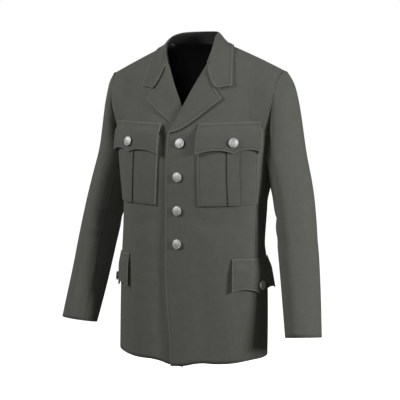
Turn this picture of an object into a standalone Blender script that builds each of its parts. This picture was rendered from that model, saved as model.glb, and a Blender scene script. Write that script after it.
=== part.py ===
"""Single-breasted military uniform jacket, filled out as when worn.

Metres, +Z up, the front faces -Y and the wearer's left is +X.
The origin is the middle of the neck, level with the inner ends of the shoulder seams.
Every piece of cloth is an open sheet on the form of the jacket with a Solidify modifier.
"""

import math

import bpy
import numpy as np
from mathutils import Vector
from mathutils.bvhtree import BVHTree

# Cloth and seams
CLOTH = 0.0020
FACING = 0.0018
LINING = 0.0012
SEAM_GAP = 0.00080
SEAM_EDGE = 0.006
LAYER_GAP = 0.0007
BUTTON_GAP = 0.0003

# Heights of the body
HEM_Z = -0.757
BREAK_Z = -0.205
YOKE_Z = -0.165
ARMHOLE_Z = -0.205
ARMPIT_DIP = 0.036
LINING_Z = -0.430

# Front edge and roll line
OVERLAP = 0.030
ROLL_RUN = 0.485
HEM_CORNER_DIP = 0.013
HEM_CORNER_SWING = 0.014
HEM_SIDE_RISE = 0.011
GORGE_Z = -0.044
TUCK_FRONT = 0.0034
TUCK_LAPEL = 0.0034

# Seams of the body, as turns round the form from the centre of the front
FRONT_SEAM = math.radians(74)
BACK_SEAM = math.radians(118)
HALF_TURN = math.radians(180)

# Shoulder seam
NECK_POINT = np.array([0.0744, 0.004, 0.0120])
SHOULDER_POINT = np.array([0.2345, 0.008, -0.060])
BACK_NECK = np.array([0.0, 0.062, 0.014])


# Buttons and pockets
BUTTON_RADIUS = 0.0115
FRONT_BUTTON_HEIGHTS = (-0.2306, -0.311, -0.392, -0.472)
CHEST_FLAP_TOP = -0.179
CHEST_FLAP_DROP = 0.074
CHEST_POCKET_FOOT = -0.376
CHEST_INNER = 0.050
CHEST_INNER_FOOT = 0.056
CHEST_SLANT = 0.007
FLAP_CORNER_LIFT = 0.0055
CHEST_OUTER_TOP = 0.191
CHEST_OUTER_FOOT = 0.181
PLEAT_WIDTH = 0.031
HIP_FLAP_TOP = -0.503
HIP_FLAP_DROP = 0.087
HIP_FLAP_WIDTH = 0.142
HIP_FLAP_INNER = 0.137

# Horizontal sections of the jacket's form, from the hem up
BODY_COLUMNS = ("z", "half_width", "middle_y", "front_depth", "back_depth")
BODY_SECTIONS = (
    (-0.757, 0.192, -0.026, 0.092, 0.138),
    (-0.620, 0.191, -0.022, 0.094, 0.136),
    (-0.530, 0.189, -0.020, 0.096, 0.128),
    (-0.450, 0.185, -0.017, 0.099, 0.114),
    (-0.376, 0.186, -0.009, 0.106, 0.126),
    (-0.300, 0.197, 0.002, 0.116, 0.126),
    (-0.210, 0.210, 0.013, 0.116, 0.122),
    (-0.165, 0.214, 0.022, 0.112, 0.112),
)
FRONT_POWER = 2.5
BACK_POWER = 2.1

# Armhole from the front seam's top to the shoulder, then from there to the back seam's top
ARMHOLE_FRONT = (
    (0.2070, -0.0360, -0.180),
    (0.2140, -0.0420, -0.145),
    (0.2195, -0.0380, -0.105),
    (0.2260, -0.0180, -0.074),
)
ARMHOLE_BACK = (
    (0.1980, 0.0930, -0.176),
    (0.2090, 0.0960, -0.142),
    (0.2205, 0.0790, -0.103),
    (0.2300, 0.0400, -0.072),
)

# Horizontal sections of the sleeve, from the upper arm to the cuff
SLEEVE_COLUMNS = ("z", "centre_x", "centre_y", "half_width", "half_depth")
SLEEVE_SECTIONS = (
    (-0.268, 0.2290, 0.0190, 0.0500, 0.0710),
    (-0.341, 0.2485, 0.0110, 0.0490, 0.0680),
    (-0.4575, 0.2695, -0.0090, 0.0480, 0.0650),
    (-0.573, 0.2870, -0.0300, 0.0460, 0.0600),
    (-0.685, 0.3040, -0.0560, 0.0430, 0.0530),
)
SLEEVE_POWER = 1.85
SLEEVE_FRONT_SEAM = 0.38
SLEEVE_BACK_SEAM = 0.69
SLEEVE_START = 0.0014
TILT_Z = -0.50
CUFF_TILT_X = 0.10
CUFF_TILT_Y = 0.18

CLOTH_COLOUR = (0.092, 0.096, 0.084, 1.0)
LINING_COLOUR = (0.006, 0.006, 0.006, 1.0)
METAL_COLOUR = (0.72, 0.72, 0.70, 1.0)


def start_empty():
    for obj in list(bpy.data.objects):
        bpy.data.objects.remove(obj)
    collection = bpy.data.collections.new("military_uniform_jacket")
    bpy.context.scene.collection.children.link(collection)
    return collection


def material(name, colour, roughness, metallic):
    made = bpy.data.materials.new(name)
    made.use_nodes = True
    shader = made.node_tree.nodes["Principled BSDF"]
    shader.inputs["Base Color"].default_value = colour
    shader.inputs["Roughness"].default_value = roughness
    shader.inputs["Metallic"].default_value = metallic
    return made


JACKET = start_empty()
WOOL = material("grey_green_wool", CLOTH_COLOUR, 0.9, 0.0)
BLACK_LINING = material("black_lining", LINING_COLOUR, 0.6, 0.0)
SILVER = material("silver_metal", METAL_COLOUR, 0.35, 1.0)


def lerp(a, b, t):
    return a + (b - a) * t


def spaced(start, end, count, edge):
    """count + 1 values from start to end, with a narrow step of edge at both ends."""
    edge = math.copysign(edge, end - start)
    return [start, *steps(start + edge, end - edge, count - 2), end]


def smooth(t):
    t = min(1.0, max(0.0, t))
    return t * t * (3 - 2 * t)


def unit(vector):
    return vector / np.linalg.norm(vector)


def steps(start, end, count):
    """count + 1 evenly spaced values from start to end."""
    return [lerp(start, end, i / count) for i in range(count + 1)]


def through(points, t):
    """A point on a smooth curve through the points, for t from 0 to 1."""
    points = [np.asarray(p, float) for p in points]
    spans = len(points) - 1
    at = min(spans - 1e-9, max(0.0, t * spans))
    i = int(at)
    f = at - i
    before = points[i - 1] if i > 0 else 2 * points[0] - points[1]
    after = points[i + 2] if i + 2 <= spans else 2 * points[-1] - points[-2]
    a, b = points[i], points[i + 1]
    rise_a, rise_b = (b - before) / 2, (after - a) / 2
    return hermite(a, rise_a, b, rise_b, f)


def hermite(a, rise_a, b, rise_b, t):
    """Cubic from a to b that leaves along rise_a and arrives along rise_b."""
    t2, t3 = t * t, t * t * t
    return (
        (2 * t3 - 3 * t2 + 1) * a
        + (t3 - 2 * t2 + t) * rise_a
        + (3 * t2 - 2 * t3) * b
        + (t3 - t2) * rise_b
    )


def section_at(table, z):
    """The table's row at height z, smoothly between its rows."""
    rows = np.array(sorted(table), float)
    heights = rows[:, 0]
    z = min(heights[-1], max(heights[0], z))
    i = min(len(heights) - 2, int(np.searchsorted(heights, z, side="right")) - 1)
    slopes = np.gradient(rows, heights, axis=0)
    gap = heights[i + 1] - heights[i]
    f = (z - heights[i]) / gap
    return hermite(rows[i], slopes[i] * gap, rows[i + 1], slopes[i + 1] * gap, f)


def powered(value, power):
    return math.copysign(abs(value) ** (2 / power), value)


def body_point(turn, z):
    """Point on the jacket's form at a turn from the front's centre, + towards +X."""
    _, half_width, middle_y, front_depth, back_depth = section_at(BODY_SECTIONS, z)
    sine, cosine = math.sin(turn), math.cos(turn)
    power, depth = (FRONT_POWER, front_depth) if cosine > 0 else (BACK_POWER, back_depth)
    x = half_width * powered(sine, power)
    y = middle_y - depth * powered(cosine, power)
    return np.array([x, y, z])


def turn_at_x(x, z):
    """The turn of the point of the form's front that lies at x."""
    half_width = section_at(BODY_SECTIONS, z)[1]
    share = min(1.0, abs(x) / half_width)
    return math.copysign(math.asin(share ** (FRONT_POWER / 2)), x)


def roll_x(z):
    """The front edge below the break, and the roll line of the lapel above it."""
    swing = HEM_CORNER_SWING * smooth((-0.56 - z) / 0.2)
    return -OVERLAP + ROLL_RUN * max(0.0, z - BREAK_Z) + swing


YOKE_RISE = 0.32
ROOF_AT_NECK = 0.85
ROOF_AT_ARM = 0.50
ROOF_BACK = 0.80


def yoke_height(across):
    """Where the front's upright part ends and its yoke begins."""
    return lerp(YOKE_Z, ARMHOLE_Z, smooth((across - 0.5) / 0.5))


def front_upright(across, up):
    dip = HEM_CORNER_DIP * smooth(1 - max(0.0, across) / 0.24)
    rise = HEM_SIDE_RISE * smooth((across - 0.35) / 0.65)
    z = lerp(HEM_Z - dip + rise, yoke_height(across), up)
    turn = lerp(turn_at_x(roll_x(z), z), FRONT_SEAM, across)
    return body_point(turn, z)


def yoke_point(base, rise, top, roof, up):
    """A yoke's line from the upright part to the shoulder, for up from 0 to 1."""
    length = np.linalg.norm(top - base)
    return hermite(base, rise * length * YOKE_RISE, top, roof * length, up)


def armhole(share):
    """Curve of the armhole from the front seam's top (0) over the shoulder to the back (1)."""
    front, back = body_point(FRONT_SEAM, ARMHOLE_Z), body_point(BACK_SEAM, ARMHOLE_Z)
    over = [*ARMHOLE_FRONT, SHOULDER_POINT, *reversed(ARMHOLE_BACK)]
    return through([front, *over, back], share)


def shoulder_seam(across):
    bow = np.array([0.0, 0.0, 0.002 * math.sin(math.pi * across)])
    return lerp(NECK_POINT, SHOULDER_POINT, across) + bow


def front_form(across, up):
    """The front of the wearer's left, from its edge (0) to the side seam and armhole (1).

    up runs from the hem (0) to the foot of the yoke (1) and the shoulder seam (2).
    """
    if up <= 1.0:
        return front_upright(across, up)
    base = front_upright(across, 1.0)
    rise = unit(base - front_upright(across, 0.985))
    roof = np.array([0.0, lerp(ROOF_AT_NECK, ROOF_AT_ARM, smooth(across / 0.6)), 0.0])
    point = yoke_point(base, rise, shoulder_seam(across), roof, up - 1.0)
    if across > 0.45:
        edge_base = front_upright(1.0, 1.0)
        edge_rise = unit(edge_base - front_upright(1.0, 0.985))
        edge = yoke_point(edge_base, edge_rise, SHOULDER_POINT, roof, up - 1.0)
        pull = smooth((across - 0.45) / 0.55)
        point = point + pull * (armhole((up - 1.0) / 2) - edge)
    return point


def back_upright(across, up):
    """across runs from the centre of the back (0) to the back seam (1)."""
    hem = HEM_Z + HEM_SIDE_RISE * smooth((across - 0.30) / 0.70)
    z = lerp(hem, lerp(YOKE_Z, ARMHOLE_Z, smooth(across)), up)
    return body_point(lerp(HALF_TURN, BACK_SEAM, across), z)


NECK_SHARE = 0.36


def back_top(across):
    """The back's neck edge, then its shoulder seam."""
    if across < NECK_SHARE:
        quarter = across / NECK_SHARE * math.pi / 2
        x = NECK_POINT[0] * math.sin(quarter)
        y = lerp(NECK_POINT[1], BACK_NECK[1], math.cos(quarter))
        return np.array([x, y, lerp(BACK_NECK[2], NECK_POINT[2], across / NECK_SHARE)])
    return shoulder_seam((across - NECK_SHARE) / (1 - NECK_SHARE))


def back_form(across, up):
    """The back's left half; up as in front_form."""
    if up <= 1.0:
        return back_upright(across, up)
    base = back_upright(across, 1.0)
    rise = unit(base - back_upright(across, 0.985))
    roof = np.array([0.0, -ROOF_BACK, 0.0])
    point = yoke_point(base, rise, back_top(across), roof, up - 1.0)
    if across > 0.4:
        edge_base = back_upright(1.0, 1.0)
        edge_rise = unit(edge_base - back_upright(1.0, 0.985))
        edge = yoke_point(edge_base, edge_rise, SHOULDER_POINT, roof, up - 1.0)
        pull = smooth((across - 0.4) / 0.6)
        point = point + pull * (armhole(1.5 - up / 2) - edge)
    return point


def side_form(across, up):
    """The panel under the arm, from the front seam (0) to the back seam (1)."""
    top = ARMHOLE_Z - ARMPIT_DIP * math.sin(math.pi * across)
    hem = HEM_Z + HEM_SIDE_RISE
    return body_point(lerp(FRONT_SEAM, BACK_SEAM, across), lerp(hem, top, up))


def normal_of(form, across, up):
    """Outward normal of a form whose across goes round from the front on the left side."""
    step = 0.004
    low_up, high_up = (up - step, up + step) if up < 2 - step else (up - 2 * step, up)
    low_up = max(0.0, low_up)
    along = form(across + step, up) - form(across - step, up)
    rise = form(across, high_up) - form(across, low_up)
    return unit(np.cross(along, rise))


def locate(x, z, guess=(0.4, 1.0)):
    """across and up of the front form's point at x and z, by Newton's method."""
    across, up = guess
    for _ in range(12):
        here = front_form(across, up)
        error = np.array([x - here[0], z - here[2]])
        if np.abs(error).max() < 1e-6:
            break
        step = 1e-3
        by_across = (front_form(across + step, up) - here) / step
        by_up = (front_form(across, up + step) - here) / step
        jacobian = np.array([[by_across[0], by_up[0]], [by_across[2], by_up[2]]])
        move = np.linalg.solve(jacobian, error)
        across = min(1.1, max(-0.1, across + float(np.clip(move[0], -0.3, 0.3))))
        up = min(2.0 - step, max(0.0, up + float(np.clip(move[1], -0.3, 0.3))))
    return across, up


def on_front(x, z, lift):
    """The front's point at x and z, raised from the cloth by lift."""
    across, up = locate(x, z)
    return front_form(across, up) + normal_of(front_form, across, up) * lift


def mirrored(rows):
    """The same sheet on the wearer's right; its rows run the other way to keep faces out."""
    flip = np.array([-1.0, 1.0, 1.0])
    return [[point * flip for point in reversed(row)] for row in rows]


def sheet(name, rows, thickness, finish):
    """A sheet of cloth through rows of points, thickened away from its outer face."""
    count = len(rows[0])
    points = [tuple(point) for row in rows for point in row]
    faces = []
    for r in range(len(rows) - 1):
        for c in range(count - 1):
            corner = r * count + c
            faces.append((corner, corner + 1, corner + count + 1, corner + count))
    mesh = bpy.data.meshes.new(name)
    mesh.from_pydata(points, [], faces)
    mesh.materials.append(finish)
    mesh.shade_smooth()
    obj = bpy.data.objects.new(name, mesh)
    JACKET.objects.link(obj)
    wall = obj.modifiers.new("cloth", "SOLIDIFY")
    wall.thickness = thickness
    wall.offset = -1
    wall.use_even_offset = False
    return obj


def tree_of(*objects):
    """One search tree over the outer faces of these sheets."""
    points, faces = [], []
    for obj in objects:
        start = len(points)
        points += [v.co.copy() for v in obj.data.vertices]
        faces += [[start + i for i in face.vertices] for face in obj.data.polygons]
    return BVHTree.FromPolygons(points, faces)


def kept_clear(rows, tree, lift, reach=0.06):
    """Rows of points, each pushed out to at least lift from the sheets below it."""
    cleared = []
    for row in rows:
        moved = []
        for point in row:
            near, normal, _, distance = tree.find_nearest(Vector(point))
            if near is not None and distance < reach:
                height = (Vector(point) - near).dot(normal)
                aside = (Vector(point) - near - normal * height).length
                if height < lift and aside < 0.004:
                    point = point + np.array(normal) * (lift - height)
            moved.append(point)
        cleared.append(moved)
    return cleared


def tuck(x, z):
    """How far the right front lies under the left one at the centre, x counted from its own side."""
    beside = 1 - smooth((x - 0.030) / 0.050)
    below = 1 - smooth((z + 0.150) / 0.050)
    lapel = smooth((z + 0.232) / 0.020)
    return beside * below * (TUCK_FRONT + TUCK_LAPEL * lapel)


def tucked(rows):
    """The right front's points, still drawn on the left, pushed in where it lies underneath."""
    return [
        [point + np.array([0.0, tuck(point[0], point[2]), 0.0]) for point in row]
        for row in rows
    ]


# Fronts

ROLL_SETBACK = 0.0041
LAPEL_RADIUS = CLOTH / 2 + LAYER_GAP + FACING
FRONT_WIDTH = 0.235


def seam_share(width):
    """Half a seam's gap as a share of a panel that wide."""
    return SEAM_GAP / 2 / width


SHOULDER_LENGTH = 0.09


def edge_start(up):
    """across at which the front's cloth begins: its edge, or just behind the roll line."""
    across = 0.0
    for _ in range(8):
        x, _, z = front_form(across, up)
        slope = (front_form(across + 0.002, up)[0] - x) / 0.002
        wanted = roll_x(z) + ROLL_SETBACK * smooth((z - BREAK_Z) / 0.02)
        across -= (x - wanted) / slope
    return across


def front_rows():
    break_up = (BREAK_Z - HEM_Z) / (YOKE_Z - HEM_Z)
    ups = steps(0, break_up, 11) + [lerp(break_up, 1, 0.5)] + steps(1, 1.96, 7) + [2]
    rows = []
    for up in ups:
        up = min(up, 2 - seam_share(SHOULDER_LENGTH))
        start, seam = edge_start(up), 1 - seam_share(FRONT_WIDTH)
        acrosses = [*steps(start, 1 - SEAM_EDGE / FRONT_WIDTH, 12), seam]
        rows.append([front_form(across, up) for across in acrosses])
    return rows


left_front = sheet("left_front", front_rows(), CLOTH, WOOL)
right_front = sheet("right_front", mirrored(tucked(front_rows())), CLOTH, WOOL)


# Side panels and back

SIDE_WIDTH = 0.13
BACK_WIDTH = 0.19


def side_rows():
    seam = seam_share(SIDE_WIDTH)
    acrosses = spaced(seam, 1 - seam, 6, SEAM_EDGE / SIDE_WIDTH)
    return [[side_form(across, up) for across in acrosses] for up in steps(0, 1, 12)]


def back_grid():
    """The across values, from the seam to the centre, and the up values of the back."""
    ups = steps(0, 1, 12) + steps(1, 1.96, 7)[1:] + [2 - seam_share(SHOULDER_LENGTH)]
    neck = steps(seam_share(BACK_WIDTH), NECK_SHARE, 4)
    side = steps(NECK_SHARE, 1 - SEAM_EDGE / BACK_WIDTH, 5)[1:]
    return [1 - seam_share(BACK_WIDTH), *reversed(neck + side)], ups


def back_rows():
    acrosses, ups = back_grid()
    return [[back_form(across, up) for across in acrosses] for up in ups]


left_side = sheet("left_side_panel", side_rows(), CLOTH, WOOL)
right_side = sheet("right_side_panel", mirrored(side_rows()), CLOTH, WOOL)
left_back = sheet("left_back", back_rows(), CLOTH, WOOL)
right_back = sheet("right_back", mirrored(back_rows()), CLOTH, WOOL)


# Sleeves

SLEEVE_TOP_Z = SLEEVE_SECTIONS[0][0]
CUFF_Z = SLEEVE_SECTIONS[-1][0]


def armhole_loop():
    """Points round the left armhole, from the shoulder down the front, under and up the back."""
    front = [front_form(1.0, 2 - i / 24) for i in range(25)]
    under = [side_form(i / 16, 1.0) for i in range(1, 17)]
    back = [back_form(1.0, 1 + i / 24) for i in range(1, 25)]
    return front + under + back


def along_loop(points, share):
    """The point a share of the way round a closed run of points, by length."""
    points = np.array(points)
    lengths = np.linalg.norm(np.diff(points, axis=0), axis=1)
    ends = np.concatenate([[0.0], np.cumsum(lengths)])
    at = (share % 1.0) * ends[-1]
    return np.array([np.interp(at, ends, points[:, axis]) for axis in range(3)])


def sleeve_ring(share, z):
    """Point of the sleeve at height z; share 0 is outside, 0.25 front and 0.5 inside.

    Towards the cuff the rings tilt until they lie square to the forearm.
    """
    _, centre_x, centre_y, half_width, half_depth = section_at(SLEEVE_SECTIONS, z)
    turn = share * 2 * math.pi
    x = half_width * powered(math.cos(turn), SLEEVE_POWER)
    y = -half_depth * powered(math.sin(turn), SLEEVE_POWER)
    tilt = smooth((TILT_Z - z) / (TILT_Z - CUFF_Z))
    rise = tilt * (CUFF_TILT_X * x - CUFF_TILT_Y * y)
    return np.array([centre_x + x, centre_y + y, z + rise])


ARMHOLE = armhole_loop()


def sleeve_form(share, down):
    """down runs from the armhole (0) to the upper arm (1) and the cuff (2)."""
    if down >= 1:
        return sleeve_ring(share, lerp(SLEEVE_TOP_Z, CUFF_Z, down - 1))
    turn = share * 2 * math.pi
    outside = (1 + math.cos(turn)) / 2
    leave = unit(
        np.array([0.12 + 0.50 * outside, -0.30 * math.sin(turn), -(1 - 0.30 * outside)])
    )
    start = along_loop(ARMHOLE, share) + leave * SLEEVE_START
    start[0] += SLEEVE_START * (1 - outside)
    end = sleeve_ring(share, SLEEVE_TOP_Z)
    arrive = unit(sleeve_ring(share, SLEEVE_TOP_Z - 0.01) - end)
    length = np.linalg.norm(end - start)
    return hermite(start, leave * length * 0.55, end, arrive * length, down)


BODY_TREE = tree_of(left_front, left_side, left_back)


SLEEVE_ROUND = 0.38


def sleeve_rows(start, end, columns):
    gap = SEAM_GAP / SLEEVE_ROUND
    shares = spaced(end - gap, start + gap, columns, SEAM_EDGE / SLEEVE_ROUND)
    downs = steps(2, 1, 9) + steps(1, 0, 6)[1:]
    rows = [[sleeve_form(share, down) for share in shares] for down in downs]
    body_rows = kept_clear(rows[:-1], BODY_TREE, 0.0019, reach=0.05)
    return body_rows + rows[-1:]


UNDER_SLEEVE = (SLEEVE_FRONT_SEAM, SLEEVE_BACK_SEAM)
TOP_SLEEVE = (SLEEVE_BACK_SEAM - 1, SLEEVE_FRONT_SEAM)
for piece, span, columns in (("top", TOP_SLEEVE, 15), ("under", UNDER_SLEEVE, 8)):
    sleeve = sleeve_rows(*span, columns)
    sheet(f"left_sleeve_{piece}", sleeve, CLOTH, WOOL)
    sheet(f"right_sleeve_{piece}", mirrored(sleeve), CLOTH, WOOL)


# Lapels

LAPEL_OUTLINE = (
    (0.00, -0.0270, -0.2055),
    (0.14, 0.0030, -0.1970),
    (0.36, 0.0445, -0.1690),
    (0.60, 0.0985, -0.1235),
    (0.78, 0.0804, -0.0990),
    (0.90, 0.0665, -0.0740),
    (1.00, 0.0565, -0.0480),
)
LAPEL_CORNERS = (0.60, 0.78)
LAPEL_EDGE_LIFT = 0.0020
LAPEL_LIFT = LAYER_GAP + FACING + 0.0005
LAPEL_FREE_Z = -0.150


def lapel_edge(share):
    """x and z of the lapel's outer edge; its two corners stay sharp."""
    table = np.array(LAPEL_OUTLINE)
    low, high = 0.0, 1.0
    for corner in LAPEL_CORNERS:
        if share <= corner:
            high = min(high, corner)
        else:
            low = max(low, corner)
    inside = [row[1:] for row in table if low - 1e-9 <= row[0] <= high + 1e-9]
    return through(inside, (share - low) / (high - low))


def curl(across, up, normal, angle):
    """Point of the roll that wraps the front's edge; angle 180 is inside, 0 outside."""
    edge = front_form(across, up)
    outwards = unit(front_form(across - 0.01, up) - edge)
    centre = edge - normal * CLOTH / 2
    return centre + LAPEL_RADIUS * (outwards * math.sin(angle) + normal * math.cos(angle))


def lapel_rows(swell):
    """The lapel; swell says how much it stands off the front above and at the crossing."""
    shares = steps(0, 0.60, 9) + steps(0.60, 0.78, 3)[1:] + steps(0.78, 1, 4)[1:]
    rows = []
    for share in shares:
        z = lerp(BREAK_Z + 0.004, GORGE_Z, share)
        _, up = locate(roll_x(z), z, (0.05, 1.0))
        start = edge_start(up)
        normal = normal_of(front_form, start, up)
        row = [curl(start, up, normal, math.radians(a)) for a in (130, 95, 60, 28)]
        free = max(swell, smooth((z - LAPEL_FREE_Z) / 0.03))
        edge_x, edge_z = lapel_edge(share)
        from_x, _, from_z = front_form(start, up)
        for t in steps(0, 1, 6)[1:]:
            swing = 0.0012 * math.sin(math.pi * t) + LAPEL_EDGE_LIFT * t * t
            lift = LAPEL_LIFT + free * swing
            row.append(on_front(lerp(from_x, edge_x, t), lerp(from_z, edge_z, t), lift))
        rows.append(row)
    return rows


left_lapel = sheet("left_lapel", lapel_rows(1.0), FACING, WOOL)
right_lapel = sheet("right_lapel", mirrored(tucked(lapel_rows(0.0))), FACING, WOOL)


# Buttons

def button(name, seat, normal):
    """Domed metal button on a short shank, standing on the cloth at seat."""
    radius = BUTTON_RADIUS
    outline = (
        (0.0, 0.0061),
        (radius * 0.60, 0.0056),
        (radius * 0.90, 0.0044),
        (radius, 0.0034),
        (radius * 0.92, 0.0025),
        (radius * 0.38, 0.0022),
        (radius * 0.34, 0.0),
        (0.0, 0.0),
    )
    mesh = bpy.data.meshes.new(name)
    edges = [(i, i + 1) for i in range(len(outline) - 1)]
    mesh.from_pydata([(x, 0.0, z) for x, z in outline], edges, [])
    mesh.materials.append(SILVER)
    obj = bpy.data.objects.new(name, mesh)
    JACKET.objects.link(obj)
    turned = obj.modifiers.new("turned", "SCREW")
    turned.steps = 18
    turned.render_steps = 18
    turned.use_merge_vertices = True
    turned.merge_threshold = 0.00005
    obj.rotation_euler = Vector(normal).to_track_quat("Z", "Y").to_euler()
    obj.location = Vector(seat) + Vector(normal) * BUTTON_GAP
    return obj


def seat_on(tree, point):
    """The nearest point of the cloth and its outward normal."""
    near, normal, _, _ = tree.find_nearest(Vector(point))
    return near, normal


FRONT_TREE = tree_of(left_front)
for number, height in enumerate(FRONT_BUTTON_HEIGHTS, start=1):
    target = on_front(0.005 if number == 1 else 0.002, height, 0.0)
    button(f"front_button_{number}", *seat_on(FRONT_TREE, target))


# Chest pockets: a patch, its box pleat and a pointed flap with a button

POCKET_LIFT = LAYER_GAP + FACING + 0.0004
PLEAT_LIFT = POCKET_LIFT + 0.0022
FLAP_LIFT = PLEAT_LIFT + LAYER_GAP + FACING


def chest_outer(z):
    """x of the pocket's outer edge at height z."""
    share = (z - CHEST_POCKET_FOOT) / (CHEST_FLAP_TOP - CHEST_POCKET_FOOT)
    return lerp(CHEST_OUTER_FOOT, CHEST_OUTER_TOP, share)


def chest_inner(z):
    """x of the pocket's inner edge at height z."""
    share = (z - CHEST_POCKET_FOOT) / (CHEST_FLAP_TOP - CHEST_POCKET_FOOT)
    return lerp(CHEST_INNER_FOOT, CHEST_INNER, share)


def chest_height(share, z):
    """The pocket and its flap sit a little higher towards the arm."""
    return z + CHEST_SLANT * (share - 0.5)


def chest_x(share, z):
    """x a share of the way across the pocket, spread evenly over the curved cloth."""
    low, high = (turn_at_x(x, z) for x in (chest_inner(z), chest_outer(z)))
    return body_point(lerp(low, high, share), z)[0]


CHEST_WIDTH = 0.155
PLEAT_HALF = PLEAT_WIDTH / 2 / CHEST_WIDTH
CHEST_CENTRE = 0.51


PLEAT_FOLD = 0.005
PLEAT_SIDE = (-PLEAT_HALF - PLEAT_FOLD, -PLEAT_HALF + PLEAT_FOLD)


def chest_pocket_rows():
    """The pocket's patch, with the box pleat down its middle raised from the same cloth."""
    left_fold = [CHEST_CENTRE + side for side in PLEAT_SIDE]
    right_fold = [CHEST_CENTRE - side for side in reversed(PLEAT_SIDE)]
    flat_left, flat_right = steps(0, left_fold[0], 4), steps(right_fold[1], 1, 4)
    shares = [*flat_left, left_fold[1], CHEST_CENTRE, right_fold[0], *flat_right]
    rows = []
    for z in steps(CHEST_POCKET_FOOT, CHEST_FLAP_TOP - 0.029, 7):
        row = []
        for share in shares:
            raised = abs(share - CHEST_CENTRE) < PLEAT_HALF
            lift = PLEAT_LIFT if raised else POCKET_LIFT
            row.append(on_front(chest_x(share, z), chest_height(share, z), lift))
        rows.append(row)
    return rows


def flap_drop(share, drop, corner):
    """How far the flap hangs at a share of its width: a middle point and shorter corners."""
    half = abs(share - 0.5) * 2
    arch = math.sin(math.pi * min(1.0, half)) ** 0.8
    return drop * (1 - 0.115 * arch - (1 - corner) * min(1.0, half))


def flap_lift(share, down, low, high):
    """Height of a flap over the cloth: low at its seam, high at its foot and corners."""
    corner = (abs(share - 0.5) * 2) ** 3
    return lerp(low, high + FLAP_CORNER_LIFT * corner * down, smooth(down / 0.42))


def chest_flap_rows():
    rows = []
    for down in steps(1, 0, 6):
        row = []
        for share in steps(0, 1, 16):
            z = CHEST_FLAP_TOP - down * flap_drop(share, CHEST_FLAP_DROP, 1.01)
            lift = flap_lift(share, down, POCKET_LIFT, FLAP_LIFT + 0.0012)
            spread = share + (share - 0.5) * 0.03 * down
            row.append(on_front(chest_x(spread, z), chest_height(spread, z), lift))
        rows.append(row)
    return rows


def both_sides(name, rows, thickness):
    left = sheet(f"left_{name}", rows, thickness, WOOL)
    right = sheet(f"right_{name}", mirrored(rows), thickness, WOOL)
    return left, right


def flap_buttons(name, flaps, rows, share, down):
    """A button on each flap, at the point a share across and down it."""
    row = rows[round((1 - down) * (len(rows) - 1))]
    target = row[round(share * (len(row) - 1))]
    for side, flap, sign in zip(("left", "right"), flaps, (1, -1)):
        spot = target * np.array([sign, 1, 1])
        button(f"{side}_{name}", *seat_on(tree_of(flap), spot))


both_sides("chest_pocket", chest_pocket_rows(), FACING)
chest_flaps = both_sides("chest_flap", chest_flap_rows(), FACING)
flap_buttons("chest_button", chest_flaps, chest_flap_rows(), 0.5, 0.67)


# Hip pockets: a flap that reaches round the side

def hip_turn(share, z):
    """Turn at a share of the hip flap's width, spread evenly over the curved cloth."""
    start = turn_at_x(HIP_FLAP_INNER, z)
    turns = steps(start, start + math.radians(75), 30)
    run = [body_point(turn, z) for turn in turns]
    lengths = np.linalg.norm(np.diff(run, axis=0), axis=1)
    ends = np.concatenate([[0.0], np.cumsum(lengths)])
    return float(np.interp(share * HIP_FLAP_WIDTH, ends, turns))


def on_body(turn, z, lift):
    step = 0.002
    along = body_point(turn + step, z) - body_point(turn - step, z)
    rise = body_point(turn, z + step) - body_point(turn, z - step)
    return body_point(turn, z) + unit(np.cross(along, rise)) * lift


def hip_flap_rows():
    rows = []
    for down in steps(1, 0, 8):
        row = []
        for share in steps(0, 1, 16):
            z = HIP_FLAP_TOP - down * flap_drop(share, HIP_FLAP_DROP, 0.92)
            lift = flap_lift(share, down, POCKET_LIFT, POCKET_LIFT + 0.0040)
            lift += 0.0060 * down * smooth((share - 0.5) / 0.5)
            spread = share + (share - 0.5) * 0.02 * down
            row.append(on_body(hip_turn(spread, z), z, lift))
        rows.append(row)
    return rows


hip_flaps = both_sides("hip_flap", hip_flap_rows(), FACING)
flap_buttons("hip_button", hip_flaps, hip_flap_rows(), 0.5, 0.75)


# Collar: a stand round the neck and a fall turned down over it

ROLL_TOP = (
    (0.0000, 0.0500, 0.0400),
    (0.0340, 0.0410, 0.0390),
    (0.0520, 0.0140, 0.0350),
    (0.0605, -0.0200, 0.0240),
    (0.0630, -0.0420, 0.0010),
)
FALL_EDGE = (
    (0.0000, 0.0960, -0.0130),
    (0.0450, 0.0840, -0.0110),
    (0.0770, 0.0480, -0.0040),
    (0.0965, 0.0000, 0.0010),
    (0.1090, -0.0320, -0.0400),
    (0.1193, -0.0600, -0.0930),
)
COLLAR_END_Z = -0.038
NECK_POINT_SHARE = 0.5
FOOT_GAP = 0.0038
FALL_LIFT = FACING + 0.0028
ROLL_OVER = 0.0014
ROLL_COVER = 0.0034
COLLAR_SHARES = steps(0, 1, 13)
BODY_SHEETS = (left_front, right_front, left_back, right_back, left_lapel, right_lapel)


def front_neck(share):
    """Edge of the front from the shoulder seam (0) down to the collar's end (1)."""
    top = front_form(edge_start(2.0), 2.0)[2]
    z = lerp(top, COLLAR_END_Z, share)
    _, up = locate(roll_x(z), z, (0.05, 1.8))
    start = edge_start(up)
    edge = front_form(start, up)
    return edge, unit(front_form(start - 0.01, up) - edge)


def neckline(share):
    """Point of the neck's edge and the direction away from its cloth, from the back's centre."""
    if share >= NECK_POINT_SHARE:
        return front_neck((share - NECK_POINT_SHARE) / (1 - NECK_POINT_SHARE))
    across = NECK_SHARE * share / NECK_POINT_SHARE
    edge = back_form(across, 2.0)
    return edge, unit(edge - back_form(across, 1.98))


def stand_edges(share):
    """Foot and top of the stand."""
    edge, away = neckline(share)
    foot = edge + away * FOOT_GAP
    end, away = neckline(1.0)
    return foot, through([*ROLL_TOP, end + away * 0.0042], share)


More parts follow.
